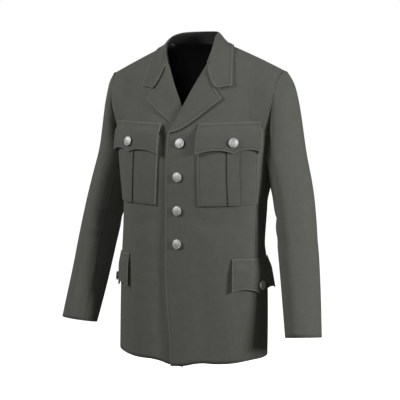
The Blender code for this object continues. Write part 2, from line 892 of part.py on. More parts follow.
def stand_rows():
    halves = [stand_edges(share) for share in COLLAR_SHARES]
    return [[lerp(foot, top, t) for foot, top in halves] for t in steps(0, 1, 4)]


def gorge_line(t):
    """End of the fall: along the lapel's seam to the notch, then along its own front edge."""
    notch, middle, end = (np.array(LAPEL_OUTLINE[i][1:]) for i in (4, 5, 6))
    start = np.array([roll_x(COLLAR_END_Z), COLLAR_END_Z])
    corner = np.array([FALL_EDGE[-1][0], FALL_EDGE[-1][2]])
    if t < 0.6:
        x, z = through([start, end, middle, notch], t / 0.6)
    else:
        x, z = lerp(notch, corner, (t - 0.6) / 0.4)
    aside = 0.0012 * smooth(t / 0.1)
    return on_front(x + aside, z + aside, LAPEL_LIFT + 0.001 + LAPEL_EDGE_LIFT * t)


def fall_line(share, t):
    """The fall from its roll (0) to its edge (1)."""
    _, top = stand_edges(share)
    edge = through(FALL_EDGE, share)
    over = unit(np.array([edge[0] - top[0], edge[1] - top[1], 0.0]))
    start = top - over * ROLL_OVER + np.array([0.0, 0.0, ROLL_COVER])
    length = np.linalg.norm(edge - start)
    return hermite(start, over * length * 0.50, edge, (edge - start) * 0.9, t)


def fall_rows():
    rows = []
    for t in steps(0, 1, 8):
        row = []
        for share in COLLAR_SHARES:
            pull = smooth((share - 0.62) / 0.38)
            row.append(fall_line(share, t) + pull * (gorge_line(t) - fall_line(1.0, t)))
        rows.append(row)
    return rows


def whole_collar(half):
    """Both halves of a row of points that starts at the centre of the back."""
    flip = np.array([-1.0, 1.0, 1.0])
    return [[p * flip for p in reversed(row[1:])] + row for row in half]


stand = [list(reversed(row)) for row in whole_collar(stand_rows())]
sheet("collar_stand", stand, LINING, BLACK_LINING)
fall = whole_collar(fall_rows())
fall = fall[:2] + kept_clear(fall[2:], tree_of(*BODY_SHEETS), FALL_LIFT)
sheet("collar_fall", fall, FACING, WOOL)


# Lining of the upper back, which shows through the neck

def lining_rows():
    """The back's own rows from the waist up, moved in by the cloth and a small gap."""
    acrosses, ups = back_grid()
    kept = [up for up in ups if back_form(0, up)[2] > LINING_Z or up > 1][:-1]
    rows = []
    for up in kept:
        row = []
        for across in acrosses[1:]:
            inwards = normal_of(back_form, across, up)
            row.append(back_form(across, up) + inwards * (CLOTH + LAYER_GAP))
        rows.append(row)
    return rows


def whole_lining():
    flip = np.array([-1.0, 1.0, 1.0])
    return [row + [p * flip for p in reversed(row)] for row in lining_rows()]


sheet("back_lining", whole_lining(), LINING, BLACK_LINING)
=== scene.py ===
"""Dressed model of a single-breasted military uniform jacket, filled out as when worn."""

import math

import bpy
import numpy as np
from mathutils import Matrix, Vector
from mathutils.bvhtree import BVHTree
from mathutils.kdtree import KDTree


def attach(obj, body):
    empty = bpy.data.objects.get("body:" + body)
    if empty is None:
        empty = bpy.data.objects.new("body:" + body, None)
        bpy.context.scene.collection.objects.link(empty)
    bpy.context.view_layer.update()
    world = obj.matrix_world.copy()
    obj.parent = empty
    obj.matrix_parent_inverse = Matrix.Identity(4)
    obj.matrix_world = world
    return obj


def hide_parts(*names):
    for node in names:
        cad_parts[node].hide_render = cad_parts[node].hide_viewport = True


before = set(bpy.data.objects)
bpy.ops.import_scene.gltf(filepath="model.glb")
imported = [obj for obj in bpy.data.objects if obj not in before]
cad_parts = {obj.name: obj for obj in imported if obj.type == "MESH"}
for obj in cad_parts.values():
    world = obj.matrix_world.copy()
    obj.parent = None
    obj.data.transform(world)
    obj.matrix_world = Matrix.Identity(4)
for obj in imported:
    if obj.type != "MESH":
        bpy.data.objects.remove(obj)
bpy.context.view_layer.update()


# Fronts
# The two fronts are cut from milled grey-green wool and laid over the chest, the wearer's
# left over the right. The outer cloth, its canvas and its facing make one wall 2 mm thick.
# Each runs from the hem over the chest to the shoulder seam and is pressed to a clean edge.

CLOTH = 0.0020
FACING = 0.0018
LINING = 0.0012
SEAM_GAP = 0.00080
SEAM_EDGE = 0.006
LAYER_GAP = 0.0007
HEM_Z = -0.757
BREAK_Z = -0.205
YOKE_Z = -0.165
ARMHOLE_Z = -0.205
ARMPIT_DIP = 0.036
OVERLAP = 0.030
ROLL_RUN = 0.485
HEM_CORNER_DIP = 0.013
HEM_CORNER_SWING = 0.014
HEM_SIDE_RISE = 0.011
TUCK_FRONT = 0.0034
TUCK_LAPEL = 0.0034
FRONT_SEAM = math.radians(74)
BACK_SEAM = math.radians(118)
HALF_TURN = math.radians(180)
NECK_POINT = np.array([0.0744, 0.004, 0.0120])
SHOULDER_POINT = np.array([0.2345, 0.008, -0.060])
BACK_NECK = np.array([0.0, 0.062, 0.014])
YOKE_RISE = 0.32
ROOF_AT_NECK = 0.85
ROOF_AT_ARM = 0.50
ROOF_BACK = 0.80
ROLL_SETBACK = 0.0041
FRONT_WIDTH = 0.235
SHOULDER_LENGTH = 0.09

# z, half_width, middle_y, front_depth, back_depth
BODY_SECTIONS = (
    (-0.757, 0.192, -0.026, 0.092, 0.138),
    (-0.620, 0.191, -0.022, 0.094, 0.136),
    (-0.530, 0.189, -0.020, 0.096, 0.128),
    (-0.450, 0.185, -0.017, 0.099, 0.114),
    (-0.376, 0.186, -0.009, 0.106, 0.126),
    (-0.300, 0.197, 0.002, 0.116, 0.126),
    (-0.210, 0.210, 0.013, 0.116, 0.122),
    (-0.165, 0.214, 0.022, 0.112, 0.112),
)
FRONT_POWER = 2.5
BACK_POWER = 2.1
ARMHOLE_FRONT = (
    (0.2070, -0.0360, -0.180),
    (0.2140, -0.0420, -0.145),
    (0.2195, -0.0380, -0.105),
    (0.2260, -0.0180, -0.074),
)
ARMHOLE_BACK = (
    (0.1980, 0.0930, -0.176),
    (0.2090, 0.0960, -0.142),
    (0.2205, 0.0790, -0.103),
    (0.2300, 0.0400, -0.072),
)

# Soft folds that the wool has taken: a path of points, half width and depth, + for a ridge
FOLD_PATHS = (
    (((-0.046, -0.112, -0.44), (-0.044, -0.118, -0.60), (-0.040, -0.118, -0.77)), 0.014, -0.0030),
    (((-0.100, -0.105, -0.42), (-0.108, -0.105, -0.58), (-0.112, -0.102, -0.77)), 0.024, 0.0022),
    (((0.060, -0.112, -0.50), (0.068, -0.115, -0.63), (0.074, -0.112, -0.77)), 0.022, -0.0022),
    (((0.120, -0.095, -0.60), (0.134, -0.092, -0.70), (0.140, -0.088, -0.78)), 0.018, 0.0026),
    (((0.035, -0.112, -0.40), (0.090, -0.108, -0.425), (0.150, -0.080, -0.415)), 0.012, -0.0020),
    (((-0.060, -0.112, -0.41), (-0.110, -0.103, -0.43), (-0.160, -0.075, -0.425)), 0.011, -0.0018),
    (((0.180, -0.040, -0.36), (0.186, -0.010, -0.43), (0.184, 0.030, -0.50)), 0.014, -0.0060),
    (((-0.180, -0.040, -0.37), (-0.186, -0.010, -0.44), (-0.182, 0.030, -0.49)), 0.013, -0.0055),
    (((0.188, -0.020, -0.27), (0.190, 0.010, -0.33), (0.183, 0.040, -0.39)), 0.012, -0.0050),
    (((-0.190, -0.020, -0.28), (-0.190, 0.012, -0.34), (-0.182, 0.045, -0.40)), 0.012, -0.0048),
    (((0.030, 0.100, -0.462), (0.090, 0.090, -0.477), (0.150, 0.062, -0.467)), 0.013, -0.0042),
    (((-0.020, 0.100, -0.474), (-0.080, 0.092, -0.486), (-0.150, 0.060, -0.474)), 0.012, -0.0040),
    (((0.060, 0.118, -0.50), (0.070, 0.112, -0.63), (0.078, 0.110, -0.77)), 0.026, 0.0030),
    (((-0.070, 0.118, -0.52), (-0.078, 0.112, -0.65), (-0.084, 0.110, -0.77)), 0.024, 0.0030),
    (((0.128, 0.118, -0.20), (0.116, 0.126, -0.27), (0.104, 0.126, -0.36)), 0.018, 0.0045),
    (((-0.130, 0.118, -0.19), (-0.114, 0.126, -0.26), (-0.100, 0.126, -0.34)), 0.019, 0.0040),
    (((0.205, 0.060, -0.30), (0.212, -0.010, -0.395), (0.232, -0.072, -0.42)), 0.011, -0.0055),
    (((0.222, 0.060, -0.40), (0.235, -0.030, -0.455), (0.262, -0.075, -0.455)), 0.010, -0.0050),
    (((0.290, 0.050, -0.36), (0.300, 0.030, -0.44), (0.300, -0.020, -0.50)), 0.014, -0.0022),
    (((0.268, 0.085, -0.24), (0.275, 0.075, -0.32), (0.288, 0.050, -0.40)), 0.014, 0.0020),
    (((-0.205, 0.060, -0.31), (-0.214, -0.010, -0.40), (-0.232, -0.072, -0.43)), 0.011, -0.0052),
    (((-0.222, 0.060, -0.41), (-0.236, -0.030, -0.465), (-0.262, -0.075, -0.47)), 0.010, -0.0050),
    (((-0.292, 0.050, -0.37), (-0.300, 0.030, -0.45), (-0.300, -0.020, -0.51)), 0.014, -0.0022),
    (((0.262, -0.020, -0.10), (0.268, -0.035, -0.16), (0.268, -0.045, -0.23)), 0.012, -0.0018),
    (((-0.262, -0.020, -0.10), (-0.268, -0.035, -0.16), (-0.268, -0.045, -0.23)), 0.012, -0.0018),
)


def lerp(a, b, t):
    return a + (b - a) * t


def steps(start, end, count):
    """count + 1 evenly spaced values from start to end."""
    return [lerp(start, end, i / count) for i in range(count + 1)]


def smooth(t):
    t = min(1.0, max(0.0, t))
    return t * t * (3 - 2 * t)


def unit(vector):
    return vector / np.linalg.norm(vector)


def hermite(a, rise_a, b, rise_b, t):
    """Cubic from a to b that leaves along rise_a and arrives along rise_b."""
    t2, t3 = t * t, t * t * t
    return (
        (2 * t3 - 3 * t2 + 1) * a
        + (t3 - 2 * t2 + t) * rise_a
        + (3 * t2 - 2 * t3) * b
        + (t3 - t2) * rise_b
    )


def through(points, t):
    """A point on a smooth curve through the points, for t from 0 to 1."""
    points = [np.asarray(p, float) for p in points]
    spans = len(points) - 1
    at = min(spans - 1e-9, max(0.0, t * spans))
    i = int(at)
    f = at - i
    before = points[i - 1] if i > 0 else 2 * points[0] - points[1]
    after = points[i + 2] if i + 2 <= spans else 2 * points[-1] - points[-2]
    a, b = points[i], points[i + 1]
    rise_a, rise_b = (b - before) / 2, (after - a) / 2
    return hermite(a, rise_a, b, rise_b, f)


def section_at(table, z):
    """The table's row at height z, smoothly between its rows."""
    rows = np.array(sorted(table), float)
    heights = rows[:, 0]
    z = min(heights[-1], max(heights[0], z))
    i = min(len(heights) - 2, int(np.searchsorted(heights, z, side="right")) - 1)
    slopes = np.gradient(rows, heights, axis=0)
    gap = heights[i + 1] - heights[i]
    f = (z - heights[i]) / gap
    return hermite(rows[i], slopes[i] * gap, rows[i + 1], slopes[i + 1] * gap, f)


def powered(value, power):
    return math.copysign(abs(value) ** (2 / power), value)


def body_point(turn, z):
    """Point on the jacket's form at a turn from the front's centre, + towards +X."""
    _, half_width, middle_y, front_depth, back_depth = section_at(BODY_SECTIONS, z)
    sine, cosine = math.sin(turn), math.cos(turn)
    power, depth = (FRONT_POWER, front_depth) if cosine > 0 else (BACK_POWER, back_depth)
    x = half_width * powered(sine, power)
    y = middle_y - depth * powered(cosine, power)
    return np.array([x, y, z])


def turn_at_x(x, z):
    """The turn of the point of the form's front that lies at x."""
    half_width = section_at(BODY_SECTIONS, z)[1]
    share = min(1.0, abs(x) / half_width)
    return math.copysign(math.asin(share ** (FRONT_POWER / 2)), x)


def roll_x(z):
    """The front edge below the break, and the roll line of the lapel above it."""
    swing = HEM_CORNER_SWING * smooth((-0.56 - z) / 0.2)
    return -OVERLAP + ROLL_RUN * max(0.0, z - BREAK_Z) + swing

def yoke_height(across):
    """Where the front's upright part ends and its yoke begins."""
    return lerp(YOKE_Z, ARMHOLE_Z, smooth((across - 0.5) / 0.5))


def front_upright(across, up):
    dip = HEM_CORNER_DIP * smooth(1 - max(0.0, across) / 0.24)
    rise = HEM_SIDE_RISE * smooth((across - 0.35) / 0.65)
    z = lerp(HEM_Z - dip + rise, yoke_height(across), up)
    turn = lerp(turn_at_x(roll_x(z), z), FRONT_SEAM, across)
    return body_point(turn, z)


def yoke_point(base, rise, top, roof, up):
    """A yoke's line from the upright part to the shoulder, for up from 0 to 1."""
    length = np.linalg.norm(top - base)
    return hermite(base, rise * length * YOKE_RISE, top, roof * length, up)


def armhole(share):
    """Curve of the armhole from the front seam's top (0) over the shoulder to the back (1)."""
    front, back = body_point(FRONT_SEAM, ARMHOLE_Z), body_point(BACK_SEAM, ARMHOLE_Z)
    over = [*ARMHOLE_FRONT, SHOULDER_POINT, *reversed(ARMHOLE_BACK)]
    return through([front, *over, back], share)


def shoulder_seam(across):
    bow = np.array([0.0, 0.0, 0.002 * math.sin(math.pi * across)])
    return lerp(NECK_POINT, SHOULDER_POINT, across) + bow


def front_form(across, up):
    """The front of the wearer's left, from its edge (0) to the side seam and armhole (1).

    up runs from the hem (0) to the foot of the yoke (1) and the shoulder seam (2).
    """
    if up <= 1.0:
        return front_upright(across, up)
    base = front_upright(across, 1.0)
    rise = unit(base - front_upright(across, 0.985))
    roof = np.array([0.0, lerp(ROOF_AT_NECK, ROOF_AT_ARM, smooth(across / 0.6)), 0.0])
    point = yoke_point(base, rise, shoulder_seam(across), roof, up - 1.0)
    if across > 0.45:
        edge_base = front_upright(1.0, 1.0)
        edge_rise = unit(edge_base - front_upright(1.0, 0.985))
        edge = yoke_point(edge_base, edge_rise, SHOULDER_POINT, roof, up - 1.0)
        pull = smooth((across - 0.45) / 0.55)
        point = point + pull * (armhole((up - 1.0) / 2) - edge)
    return point

def normal_of(form, across, up):
    """Outward normal of a form whose across goes round from the front on the left side."""
    step = 0.004
    low_up, high_up = (up - step, up + step) if up < 2 - step else (up - 2 * step, up)
    low_up = max(0.0, low_up)
    along = form(across + step, up) - form(across - step, up)
    rise = form(across, high_up) - form(across, low_up)
    return unit(np.cross(along, rise))


def locate(x, z, guess=(0.4, 1.0)):
    """across and up of the front form's point at x and z, by Newton's method."""
    across, up = guess
    for _ in range(12):
        here = front_form(across, up)
        error = np.array([x - here[0], z - here[2]])
        if np.abs(error).max() < 1e-6:
            break
        step = 1e-3
        by_across = (front_form(across + step, up) - here) / step
        by_up = (front_form(across, up + step) - here) / step
        jacobian = np.array([[by_across[0], by_up[0]], [by_across[2], by_up[2]]])
        move = np.linalg.solve(jacobian, error)
        across = min(1.1, max(-0.1, across + float(np.clip(move[0], -0.3, 0.3))))
        up = min(2.0 - step, max(0.0, up + float(np.clip(move[1], -0.3, 0.3))))
    return across, up


def on_front(x, z, lift):
    """The front's point at x and z, raised from the cloth by lift."""
    across, up = locate(x, z)
    return front_form(across, up) + normal_of(front_form, across, up) * lift


def mirrored(rows):
    """The same sheet on the wearer's right; its rows run the other way to keep faces out."""
    flip = np.array([-1.0, 1.0, 1.0])
    return [[point * flip for point in reversed(row)] for row in rows]


def tuck(x, z):
    """How far the right front lies under the left one at the centre, x counted from its own side."""
    beside = 1 - smooth((x - 0.030) / 0.050)
    below = 1 - smooth((z + 0.150) / 0.050)
    lapel = smooth((z + 0.232) / 0.020)
    return beside * below * (TUCK_FRONT + TUCK_LAPEL * lapel)


def tucked(rows):
    """The right front's points, still drawn on the left, pushed in where it lies underneath."""
    return [
        [point + np.array([0.0, tuck(point[0], point[2]), 0.0]) for point in row]
        for row in rows
    ]


def seam_share(width):
    """Half a seam's gap as a share of a panel that wide."""
    return SEAM_GAP / 2 / width


def edge_start(up):
    """across at which the front's cloth begins: its edge, or just behind the roll line."""
    across = 0.0
    for _ in range(8):
        x, _, z = front_form(across, up)
        slope = (front_form(across + 0.002, up)[0] - x) / 0.002
        wanted = roll_x(z) + ROLL_SETBACK * smooth((z - BREAK_Z) / 0.02)
        across -= (x - wanted) / slope
    return across


def front_rows():
    break_up = (BREAK_Z - HEM_Z) / (YOKE_Z - HEM_Z)
    ups = steps(0, break_up, 11) + [lerp(break_up, 1, 0.5)] + steps(1, 1.96, 7) + [2]
    rows = []
    for up in ups:
        up = min(up, 2 - seam_share(SHOULDER_LENGTH))
        start, seam = edge_start(up), 1 - seam_share(FRONT_WIDTH)
        acrosses = [*steps(start, 1 - SEAM_EDGE / FRONT_WIDTH, 12), seam]
        rows.append([front_form(across, up) for across in acrosses])
    return rows


def fine_run(points, count):
    """Points of a smooth curve through a run of points, count to each span."""
    points = np.asarray(points)
    padded = np.concatenate([[2 * points[0] - points[1]], points, [2 * points[-1] - points[-2]]])
    t = (np.arange(count) / count).reshape(-1, *[1] * points.ndim)
    before, a, b, after = padded[:-3], padded[1:-2], padded[2:-1], padded[3:]
    spans = hermite(a[None], (b - before)[None] / 2, b[None], (after - a)[None] / 2, t)
    run = np.swapaxes(spans, 0, 1).reshape(-1, *points.shape[1:])
    return np.concatenate([run, points[-1:]])


def fine_grid(rows, count):
    """The same sheet with count steps to each of its steps, both ways."""
    flat = np.asarray(rows)
    width = flat.shape[1] * 3
    tall = fine_run(flat.reshape(len(flat), 1, width), count).reshape(-1, flat.shape[1], 3)
    wide = fine_run(np.swapaxes(tall, 0, 1).reshape(flat.shape[1], 1, -1), count)
    return np.swapaxes(wide.reshape(-1, len(tall), 3), 0, 1)


def grid_normals(grid):
    """Outward normals of a sheet's points."""
    across = np.gradient(grid, axis=1)
    up = np.gradient(grid, axis=0)
    normals = np.cross(across, up)
    return normals / np.maximum(np.linalg.norm(normals, axis=2, keepdims=True), 1e-12)


def folded(grid):
    """The sheet with the wool's folds pressed into it."""
    normals = grid_normals(grid)
    depth = np.zeros(grid.shape[:2])
    for path, half_width, height in FOLD_PATHS:
        spine = fine_run(path, 12)
        fade = np.sin(np.linspace(0.06, 0.94, len(spine)) * math.pi) ** 0.6
        gaps = np.linalg.norm(grid[:, :, None, :] - spine[None, None], axis=3)
        nearest = gaps.argmin(axis=2)
        shape = np.exp(-((gaps.min(axis=2) / half_width) ** 2))
        depth += height * shape * fade[nearest]
    return grid + normals * depth[..., None]


# How far sewn edges are pressed in, and how far they are drawn on to meet their neighbours
SEAM_SINK = 0.0007
SEAM_REACH = 0.00055
SHOULDER_REACH = 0.0016


def sewn_out(grid, sewn):
    """The sheet with its sewn sides drawn on to meet their neighbours and pressed in a little."""
    normals = grid_normals(grid)
    edges = {"left": np.s_[:, 0], "right": np.s_[:, -1], "foot": np.s_[0], "top": np.s_[-1]}
    inner = {"left": np.s_[:, 1], "right": np.s_[:, -2], "foot": np.s_[1], "top": np.s_[-2]}
    for side, reach in sewn.items():
        away = grid[edges[side]] - grid[inner[side]]
        away = away / np.linalg.norm(away, axis=1, keepdims=True)
        grid[edges[side]] += away * reach - normals[edges[side]] * SEAM_SINK
    return grid


def distance_to(points, line):
    """How far each point is from a run of points."""
    tree = KDTree(len(line))
    for index, spot in enumerate(line):
        tree.insert(Vector(spot), index)
    tree.balance()
    return np.array([tree.find(Vector(point))[2] for point in points])


def free_edge(grid, sides):
    """Dense points along the sheet's free sides: left, right, top (last row) and foot."""
    runs = {"left": grid[:, 0], "right": grid[:, -1], "top": grid[-1], "foot": grid[0]}
    found = [fine_run(runs[side], 6) for side in sides]
    return np.concatenate(found)


def cloth_piece(name, rows, thickness, finish, sides=(), count=4, fold=True, sewn=None, shade=None):
    """A sheet of cloth with its wall, its weave's UV map and the distance to its free edges."""
    grid = fine_grid(rows, count)
    grid = folded(grid) if fold else grid
    grid = sewn_out(grid, sewn or {})
    tall, wide = grid.shape[:2]
    corners = np.arange(tall * wide).reshape(tall, wide)
    quads = np.stack([corners[:-1, :-1], corners[:-1, 1:], corners[1:, 1:], corners[1:, :-1]], -1)
    mesh = bpy.data.meshes.new(name)
    mesh.from_pydata(grid.reshape(-1, 3).tolist(), [], quads.reshape(-1, 4).tolist())
    along = np.zeros((tall, wide))
    along[:, 1:] = np.cumsum(np.linalg.norm(np.diff(grid, axis=1), axis=2), axis=1)
    up = np.zeros((tall, wide))
    up[1:] = np.cumsum(np.linalg.norm(np.diff(grid, axis=0), axis=2), axis=0)
    weave = mesh.uv_layers.new(name="weave")
    places = np.stack([along, up], -1).reshape(-1, 2)
    order = np.zeros(len(mesh.loops), int)
    mesh.loops.foreach_get("vertex_index", order)
    weave.data.foreach_set("uv", places[order].ravel())
    edge = mesh.attributes.new("edge_distance", "FLOAT", "POINT")
    flat = grid.reshape(-1, 3)
    far = distance_to(flat, free_edge(grid, sides)) if sides else np.full(len(flat), 0.05)
    edge.data.foreach_set("value", far)
    if shade is not None:
        dark = mesh.attributes.new("fold_shade", "FLOAT", "POINT")
        dark.data.foreach_set("value", np.broadcast_to(shade, (tall, wide)).ravel())
    mesh.materials.append(finish)
    mesh.shade_smooth()
    piece = bpy.data.objects.new(name, mesh)
    bpy.context.scene.collection.objects.link(piece)
    wall = piece.modifiers.new("cloth", "SOLIDIFY")
    wall.thickness = thickness
    wall.offset = -1
    wall.use_even_offset = False
    first, second = grid[:-1, 1:] - grid[:-1, :-1], grid[1:, :-1] - grid[:-1, :-1]
    area = float(np.linalg.norm(np.cross(first, second), axis=2).sum())
    width, length = float(along.max()), float(up.max())
    area = min(area, width * length)
    return piece, (width, length), area, grid


def finish(name, settings):
    """A new material, its nodes and its main shader with these settings."""
    made = bpy.data.materials.new(name)
    made.use_nodes = True
    shader = made.node_tree.nodes["Principled BSDF"]
    for socket, value in settings.items():
        shader.inputs[socket].default_value = value
    return made, made.node_tree, shader


def added(tree, kind, inputs=None, **settings):
    """A node in the tree; an input is a value or another node's output."""
    made = tree.nodes.new(kind)
    for setting, value in settings.items():
        setattr(made, setting, value)
    for socket, value in (inputs or {}).items():
        if isinstance(value, bpy.types.NodeSocket):
            tree.links.new(value, made.inputs[socket])
        else:
            made.inputs[socket].default_value = value
    return made


def ramp(tree, factor, stops):
    """Colours that run through the stops, each a place and a colour."""
    made = added(tree, "ShaderNodeValToRGB", {"Fac": factor})
    for end, (place, colour) in zip(made.color_ramp.elements, (stops[0], stops[-1])):
        end.position = place
        end.color = (*colour, 1.0)
    for place, colour in stops[1:-1]:
        made.color_ramp.elements.new(place).color = (*colour, 1.0)
    return made.outputs["Color"]


def wool_finish():
    """Milled wool: a soft mottle, a faint diagonal rib and a pressed edge with its stitch line in the bump,
    with a painted highlight along the edge, painted shade at the stitch line and painted shade almost to
    black in the pleat's folds.
    """
    settings = {
        "Roughness": 0.88,
        "Specular IOR Level": 0.22,
        "Sheen Weight": 0.16,
        "Sheen Roughness": 0.45,
        "Sheen Tint": (0.62, 0.64, 0.58, 1.0),
    }
    made, tree, shader = finish("grey_green_milled_wool", settings)
    place = added(tree, "ShaderNodeTexCoord").outputs
    cloudy = {"Vector": place["Object"], "Scale": 55.0, "Detail": 6.0, "Roughness": 0.62}
    mottle = added(tree, "ShaderNodeTexNoise", cloudy).outputs["Fac"]
    tone = ramp(tree, mottle, ((0.32, (0.0895, 0.0925, 0.0815)), (0.70, (0.0995, 0.1025, 0.0905))))
    fine = {"Vector": place["Object"], "Scale": 900.0, "Detail": 3.0}
    fibres = added(tree, "ShaderNodeTexNoise", fine).outputs["Fac"]
    flecked = {"Fac": 0.22, "Color1": tone, "Color2": fibres}
    flecks = added(tree, "ShaderNodeMixRGB", flecked, blend_type="OVERLAY").outputs["Color"]
    edge = added(tree, "ShaderNodeAttribute", attribute_name="edge_distance").outputs["Fac"]
    reach = added(tree, "ShaderNodeMath", {0: edge, 1: 50.0}, operation="MULTIPLY").outputs["Value"]
    # Painted highlight and shade: within about 4 mm of a free edge the colour is lightened, and 6.5 mm in, at
    # the stitch line, it is darkened; the same ramp is the height of the pressed ridge in the bump.
    greys = (0.0, 0.72), (0.10, 0.62), (0.19, 0.52), (0.27, 0.51)
    greys += (0.325, 0.30), (0.38, 0.53), (0.48, 0.50), (1.0, 0.50)
    edge_light_and_ridge = ramp(tree, reach, [(spot, (grey, grey, grey)) for spot, grey in greys])
    edged = {"Fac": 0.9, "Color1": flecks, "Color2": edge_light_and_ridge}
    shaded = added(tree, "ShaderNodeMixRGB", edged, blend_type="OVERLAY").outputs["Color"]
    # Painted shade: where the fold_shade attribute is set, in the pleat's folds, the colour is mixed towards
    # black.
    deep = added(tree, "ShaderNodeAttribute", attribute_name="fold_shade").outputs["Fac"]
    dark = {"Fac": deep, "Color1": shaded, "Color2": (0.012, 0.012, 0.010, 1.0)}
    tree.links.new(added(tree, "ShaderNodeMixRGB", dark).outputs["Color"], shader.inputs["Base Color"])
    ribbed = {"Vector": place["UV"], "Scale": 260.0, "Distortion": 1.5}
    rib = added(tree, "ShaderNodeTexWave", ribbed, wave_type="BANDS", bands_direction="DIAGONAL")
    napped = {0: rib.outputs["Fac"], 1: 0.25, 2: fibres}
    nap = added(tree, "ShaderNodeMath", napped, operation="MULTIPLY_ADD").outputs["Value"]
    fuzz = {"Strength": 0.30, "Distance": 0.0004, "Height": nap}
    surface = added(tree, "ShaderNodeBump", fuzz).outputs["Normal"]
    ridge = {"Strength": 0.8, "Distance": 0.0016, "Height": edge_light_and_ridge, "Normal": surface}
    tree.links.new(added(tree, "ShaderNodeBump", ridge).outputs["Normal"], shader.inputs["Normal"])
    return made


WOOL = wool_finish()


def dressed(
    name, rows, thickness, sides=(), rests_on=(), count=4, held="hung", fold=True, sewn=None, shade=None
):
    """A piece of wool that stands for the solid of the same name."""
    made = cloth_piece(name + "_wool", rows, thickness, WOOL, sides, count, fold, sewn, shade)
    piece, flat, area, grid = made
    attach(piece, "root")
    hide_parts(name)
    return grid


front_grid = front_rows()
left_seams = {"right": SEAM_REACH, "top": SHOULDER_REACH}
right_seams = {"left": SEAM_REACH, "top": SHOULDER_REACH}
LEFT_FRONT = dressed("left_front", front_grid, CLOTH, ("left",), count=5, sewn=left_seams)
right_front_grid = mirrored(tucked(front_grid))
dressed("right_front", right_front_grid, CLOTH, ("right",), count=5, sewn=right_seams)


# Side panels and backs
# A panel under each arm joins the front to the back, and the back is two halves with a seam
# down its middle. All are the same wool, sewn with plain pressed seams.

SIDE_WIDTH = 0.13
BACK_WIDTH = 0.19
NECK_SHARE = 0.36


def spaced(start, end, count, edge):
    """count + 1 values from start to end, with a narrow step of edge at both ends."""
    edge = math.copysign(edge, end - start)
    return [start, *steps(start + edge, end - edge, count - 2), end]


def side_form(across, up):
    """The panel under the arm, from the front seam (0) to the back seam (1)."""
    top = ARMHOLE_Z - ARMPIT_DIP * math.sin(math.pi * across)
    hem = HEM_Z + HEM_SIDE_RISE
    return body_point(lerp(FRONT_SEAM, BACK_SEAM, across), lerp(hem, top, up))


def back_upright(across, up):
    """across runs from the centre of the back (0) to the back seam (1)."""
    hem = HEM_Z + HEM_SIDE_RISE * smooth((across - 0.30) / 0.70)
    z = lerp(hem, lerp(YOKE_Z, ARMHOLE_Z, smooth(across)), up)
    return body_point(lerp(HALF_TURN, BACK_SEAM, across), z)


def back_top(across):
    """The back's neck edge, then its shoulder seam."""
    if across < NECK_SHARE:
        quarter = across / NECK_SHARE * math.pi / 2
        x = NECK_POINT[0] * math.sin(quarter)
        y = lerp(NECK_POINT[1], BACK_NECK[1], math.cos(quarter))
        return np.array([x, y, lerp(BACK_NECK[2], NECK_POINT[2], across / NECK_SHARE)])
    return shoulder_seam((across - NECK_SHARE) / (1 - NECK_SHARE))


def back_form(across, up):
    """The back's left half; up as in front_form."""
    if up <= 1.0:
        return back_upright(across, up)
    base = back_upright(across, 1.0)
    rise = unit(base - back_upright(across, 0.985))
    roof = np.array([0.0, -ROOF_BACK, 0.0])
    point = yoke_point(base, rise, back_top(across), roof, up - 1.0)
    if across > 0.4:
        edge_base = back_upright(1.0, 1.0)
        edge_rise = unit(edge_base - back_upright(1.0, 0.985))
        edge = yoke_point(edge_base, edge_rise, SHOULDER_POINT, roof, up - 1.0)
        pull = smooth((across - 0.4) / 0.6)
        point = point + pull * (armhole(1.5 - up / 2) - edge)
    return point


def side_rows():
    seam = seam_share(SIDE_WIDTH)
    acrosses = spaced(seam, 1 - seam, 6, SEAM_EDGE / SIDE_WIDTH)
    return [[side_form(across, up) for across in acrosses] for up in steps(0, 1, 12)]


def back_grid():
    """The across values, from the seam to the centre, and the up values of the back."""
    ups = steps(0, 1, 12) + steps(1, 1.96, 7)[1:] + [2 - seam_share(SHOULDER_LENGTH)]
    neck = steps(seam_share(BACK_WIDTH), NECK_SHARE, 4)
    side = steps(NECK_SHARE, 1 - SEAM_EDGE / BACK_WIDTH, 5)[1:]
    return [1 - seam_share(BACK_WIDTH), *reversed(neck + side)], ups


def back_rows():
    acrosses, ups = back_grid()
    return [[back_form(across, up) for across in acrosses] for up in ups]


panel_seams = {"left": SEAM_REACH, "right": SEAM_REACH, "top": SHOULDER_REACH}
for panel, rows in (("side_panel", side_rows()), ("back", back_rows())):
    dressed("left_" + panel, rows, CLOTH, sewn=panel_seams)
    dressed("right_" + panel, mirrored(rows), CLOTH, sewn=panel_seams)


# Sleeves
# Each sleeve is two shaped lengths of the wool, a wide top one and a narrow under one, sewn
# down the front and back of the arm and set into the armhole. The cuff is plain and open.

# z, centre_x, centre_y, half_width, half_depth
SLEEVE_SECTIONS = (
    (-0.268, 0.2290, 0.0190, 0.0500, 0.0710),
    (-0.341, 0.2485, 0.0110, 0.0490, 0.0680),
    (-0.4575, 0.2695, -0.0090, 0.0480, 0.0650),
    (-0.573, 0.2870, -0.0300, 0.0460, 0.0600),
    (-0.685, 0.3040, -0.0560, 0.0430, 0.0530),
)
SLEEVE_POWER = 1.85
SLEEVE_FRONT_SEAM = 0.38
SLEEVE_BACK_SEAM = 0.69
SLEEVE_START = 0.0014
TILT_Z = -0.50
CUFF_TILT_X = 0.10
CUFF_TILT_Y = 0.18
SLEEVE_TOP_Z = SLEEVE_SECTIONS[0][0]
CUFF_Z = SLEEVE_SECTIONS[-1][0]
SLEEVE_ROUND = 0.38


def armhole_loop():
    """Points round the left armhole, from the shoulder down the front, under and up the back."""
    front = [front_form(1.0, 2 - i / 24) for i in range(25)]
    under = [side_form(i / 16, 1.0) for i in range(1, 17)]
    back = [back_form(1.0, 1 + i / 24) for i in range(1, 25)]
    return front + under + back


